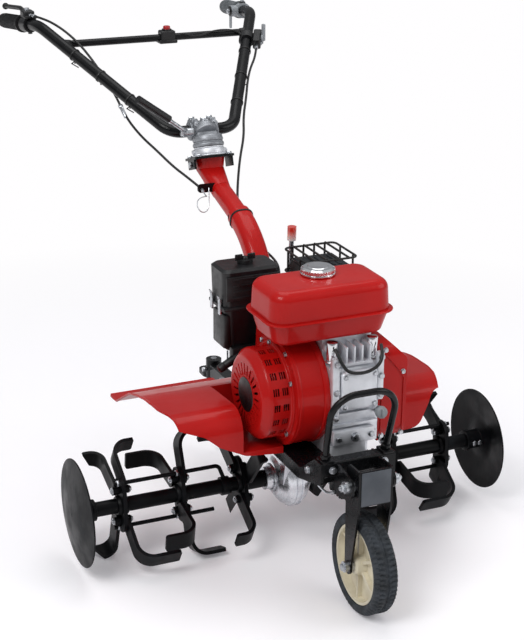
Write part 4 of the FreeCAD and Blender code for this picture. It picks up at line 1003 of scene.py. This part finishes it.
CLUTCH_CABLE = [(-258, 831.7, 921), (-256, 796, 926), (-224, 752, 914), (-190, 704, 882), (-164, 662, 838),
                (-140, 616, 786), (-130, 566, 738), (-116, 514, 708), (-98, 464, 686), (-78, 420, 660),
                (-60, 384, 644), (-44, 352.3, 628)]
THROTTLE_CABLE = [(219, 671, 851), (202, 637, 833), (177, 608, 814), (154, 570, 794), (131, 523, 769),
                  (106, 480, 738), (88, 434, 706), (62, 396, 668), (37, 350, 614), (18, 300, 583),
                  (18, 250, 557), (27, 205, 534), (33, 165, 528), (33, 124, 518), (18, 92, 492),
                  (5, 66.3, 461)]
CABLE_RADIUS = 2.6


def control_cables():
    """Sheathed cables, drawn as fixed pieces curving past the head."""
    cables = (("clutch_cable", CLUTCH_CABLE, 11, 6), ("throttle_cable", THROTTLE_CABLE, 10, 4))
    for node, route, low, high in cables:
        bm = bmesh.new()
        wire(bm, smooth_route(route), CABLE_RADIUS, 12)
        piece = finish_piece(bm, node.replace("cable", "sheath"), SHEATH)
        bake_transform(piece)
        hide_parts(node)


def control_details():
    at = Vector(on_arm(0.82, 1))

    def button(bm):
        cylinder(bm, (23, at.y, at.z + 16), (23, at.y, at.z + 25.5), 8.6, 7.6, sides=32, soften=1.6)
    build("stop_button", RED_ABS, "handle", button)

    def collar(bm):
        cylinder(bm, (23, at.y, at.z + 15), (23, at.y, at.z + 19), 11, sides=32, soften=1)
        box(bm, (2, at.y - 14.5, at.z - 12), (44, at.y + 14.5, at.z - 3), 2.5)
        for side in (-1, 1):
            x = side * 0.97 * at.x
            cylinder(bm, (x, at.y, at.z), (x - side * 14, at.y, at.z), 10.5, 9, sides=24, soften=1)
        for share, way in ((0.2, 1), (0.42, 1), (0.64, 1), (0.3, -1), (0.52, -1), (0.72, -1)):
            middle = Vector(on_arm(share, way))
            step = arm_way(way) * 2.2
            cylinder(bm, middle - step, middle + step, 14, sides=28, soften=0.8)
            cylinder(bm, middle - Z * 12, middle - Z * 19, 2.4, 1.6, sides=6)
            if share in (0.3, 0.42, 0.72):
                tip = middle - Vector((way * -9, 6, 17))
                wire(bm, [middle - Z * 13, tip, tip + Vector((way * -14, -4, -9))], 1.3, 6)
    build("bar_ties", SHEATH, "handle", collar)

    def lead(bm):
        route = [(40, at.y, at.z + 4), (58, at.y - 6, at.z + 8), (92, at.y - 10, at.z - 2),
                 (140, at.y - 8, at.z + 12), (at.x - 22, at.y - 10, at.z + 6),
                 tuple(Vector(on_arm(0.76, 1)) + Vector((-14, -4, 6)))]
        wire(bm, smooth_route(route), 1.9, 10)
    build("switch_lead", SHEATH, "handle", lead)

    def adjusters(bm):
        end = Vector(CLUTCH_CABLE[0])
        way = (Vector(CLUTCH_CABLE[1]) - end).normalized()
        cylinder(bm, end - way * 2, end + way * 10, 4.6, sides=6, soften=0.4)
        cylinder(bm, end + way * 10, end + way * 26, 3.6, sides=18, soften=0.4)
        low, high = Vector(CLUTCH_CABLE[6]), Vector(CLUTCH_CABLE[5])
        step = (high - low).normalized()
        cylinder(bm, low, low + step * 26, 4.2, sides=18, soften=0.6)
        cylinder(bm, low + step * 26, low + step * 33, 5.2, sides=6, soften=0.4)
        far = Vector(THROTTLE_CABLE[0])
        down = (Vector(THROTTLE_CABLE[1]) - far).normalized()
        cylinder(bm, far - down * 2, far + down * 14, 4.4, sides=6, soften=0.4)
    build("cable_adjusters", ZINC, "handle", adjusters)

    def box_parts(bm):
        way = arm_way(1)
        middle = Vector(on_arm(0.755, 1))
        out = way.cross(Z).normalized()
        face = middle + out * 33
        cylinder(bm, face, face + out * 5, 11, sides=32, soften=1.5)
        a = face + out * 5
        box(bm, a - Vector((4, 4, 4)), a + Vector((4, 4, 34)), 2)
        for shift in (-17, 17):
            hex_bolt(bm, face + way * shift, out, 4)
    build("throttle_lever_arm", GREY_ABS, "handle", box_parts)

    def levers(bm):
        middle = Vector(on_grip(137, 1))
        for turn in range(3):
            cylinder(bm, middle - X * (31 + turn), middle - X * (32 + turn), 12 - turn * 2, sides=32,
                     soften=0.4)
        box(bm, middle + Vector((-6, -7, 13)), middle + Vector((6, 7, 21)), 2)
        left = Vector(on_grip(150, -1))
        box(bm, left + Vector((-14, -16, 14)), left + Vector((16, 12, 21)), 3)
        cylinder(bm, left + Vector((0, -4, -20)), left + Vector((0, -4, -12)), 5, sides=6, soften=0.4)
    build("control_mouldings", BLACK_ABS, "handle", levers)

    def rivets(bm):
        middle = Vector(on_grip(137, 1))
        hex_bolt(bm, middle - X * 34, (-1, 0, 0), 6)
        hex_bolt(bm, middle + Z * 21, (0, 0, 1), 5)
        hex_bolt(bm, (-259, 850, 931), (0, 0, 1), 6)
        hex_bolt(bm, (-54, 421, 730), (-1, 0, 0), 8)
    build("control_bolts", ZINC, "handle", rivets)


# ---------------------------------------------------------------- finishes of the carried pieces

RED = red_enamel()
BLACK = black_enamel()
TINE = tine_steel()
CAST = cast_aluminium()
BUFFED = polished_aluminium()
ZINC = zinc_plate()
CHROME = chrome()
BLACK_ABS = moulded_plastic("black_moulded_abs", "#08080A", "#0E0E11", 0.4)
GREY_ABS = moulded_plastic("grey_moulded_abs", "#83888C", "#92969A", 0.42)
CREAM_NYLON = moulded_plastic("cream_moulded_nylon", "#CFC6AD", "#DDD5BE", 0.4)
GRIP_BLACK = rubber("black_grip_rubber", "#0B0B0D", "#141517", 0.6)
GRIP_GREY = rubber("grey_grip_rubber", "#54585B", "#666A6D", 0.55)
TYRE = rubber("tyre_rubber", "#24282C", "#363B41", 0.7)
SHEATH = rubber("cable_sheath_pvc", "#0C0C0D", "#131314", 0.4)
EXHAUST = heat_paint()
SHIELD = black_enamel("grey_heat_shield", "#1C1E21", "#26292D", 0.45)
GREY_ENAMEL = black_enamel("grey_sprayed_enamel", "#4A4E54", "#585C62", 0.42)
CAST_DARK = cast_aluminium("darkened_die_casting", "#85888D", "#A2A5AA")
RED_ABS = moulded_plastic("red_moulded_abs", "#A8141A", "#B51B20", 0.3)
RESIN = knob_resin()

SIDES = ("left", "right")

paint(RED, "fan_cover", "recoil_cover", "fuel_tank", "drive_cover", "fender_left", "fender_right",
      "handle_column", "column_sleeve")
paint(BLACK, "main_frame", "front_guard", "wheel_fork", "handlebar", "cross_tube", "hitch_arm",
      "cable_bracket", "column_plate")
paint(TINE, *[f"{part}_{side}" for side in SIDES for part in
              ("tine_tube", "tie_rods", "inner_tines", "middle_tines", "outer_tines", "side_disc")])
paint(CAST, "engine_block", "lower_head", "upper_head", "carburettor")
paint(BUFFED, "gear_case")
paint(ZINC, "rotor_shaft", "fold_pin", "wheel_pin", "lock_lever", "shift_lever", "drag_bar",
      "control_bracket")
paint(CHROME, "fuel_cap")
paint(BLACK_ABS, "air_cleaner", "lock_lever_grip", "clutch_lever", "throttle_box", "stop_switch")
paint(GREY_ABS, "throttle_lever")
paint(CREAM_NYLON, "wheel_rim")
paint(GRIP_BLACK, "grip_left")
paint(GRIP_GREY, "grip_right")
paint(TYRE, "wheel_tyre")
paint(SHEATH, "clutch_cable", "throttle_cable")
paint(EXHAUST, "muffler", "muffler_guard")
paint(RESIN, "shift_knob")

starter_details()
vent_rings()
crankcase_details()
tank_details()
cleaner_details()
muffler_details()
cover_details()
for side, way in (("left", -1), ("right", 1)):
    fender_details(side, way)
column_details()
frame_details()
fork_details()
tyre()
rotor_details()
swivel_head()
lower_ring()
head_details()
grip_details()
control_cables()
control_details()

make_camera()
make_stage()
for lamp_facts in LAMPS:
    make_lamp(*lamp_facts)

scene = bpy.context.scene
scene.view_settings.view_transform = "Standard"
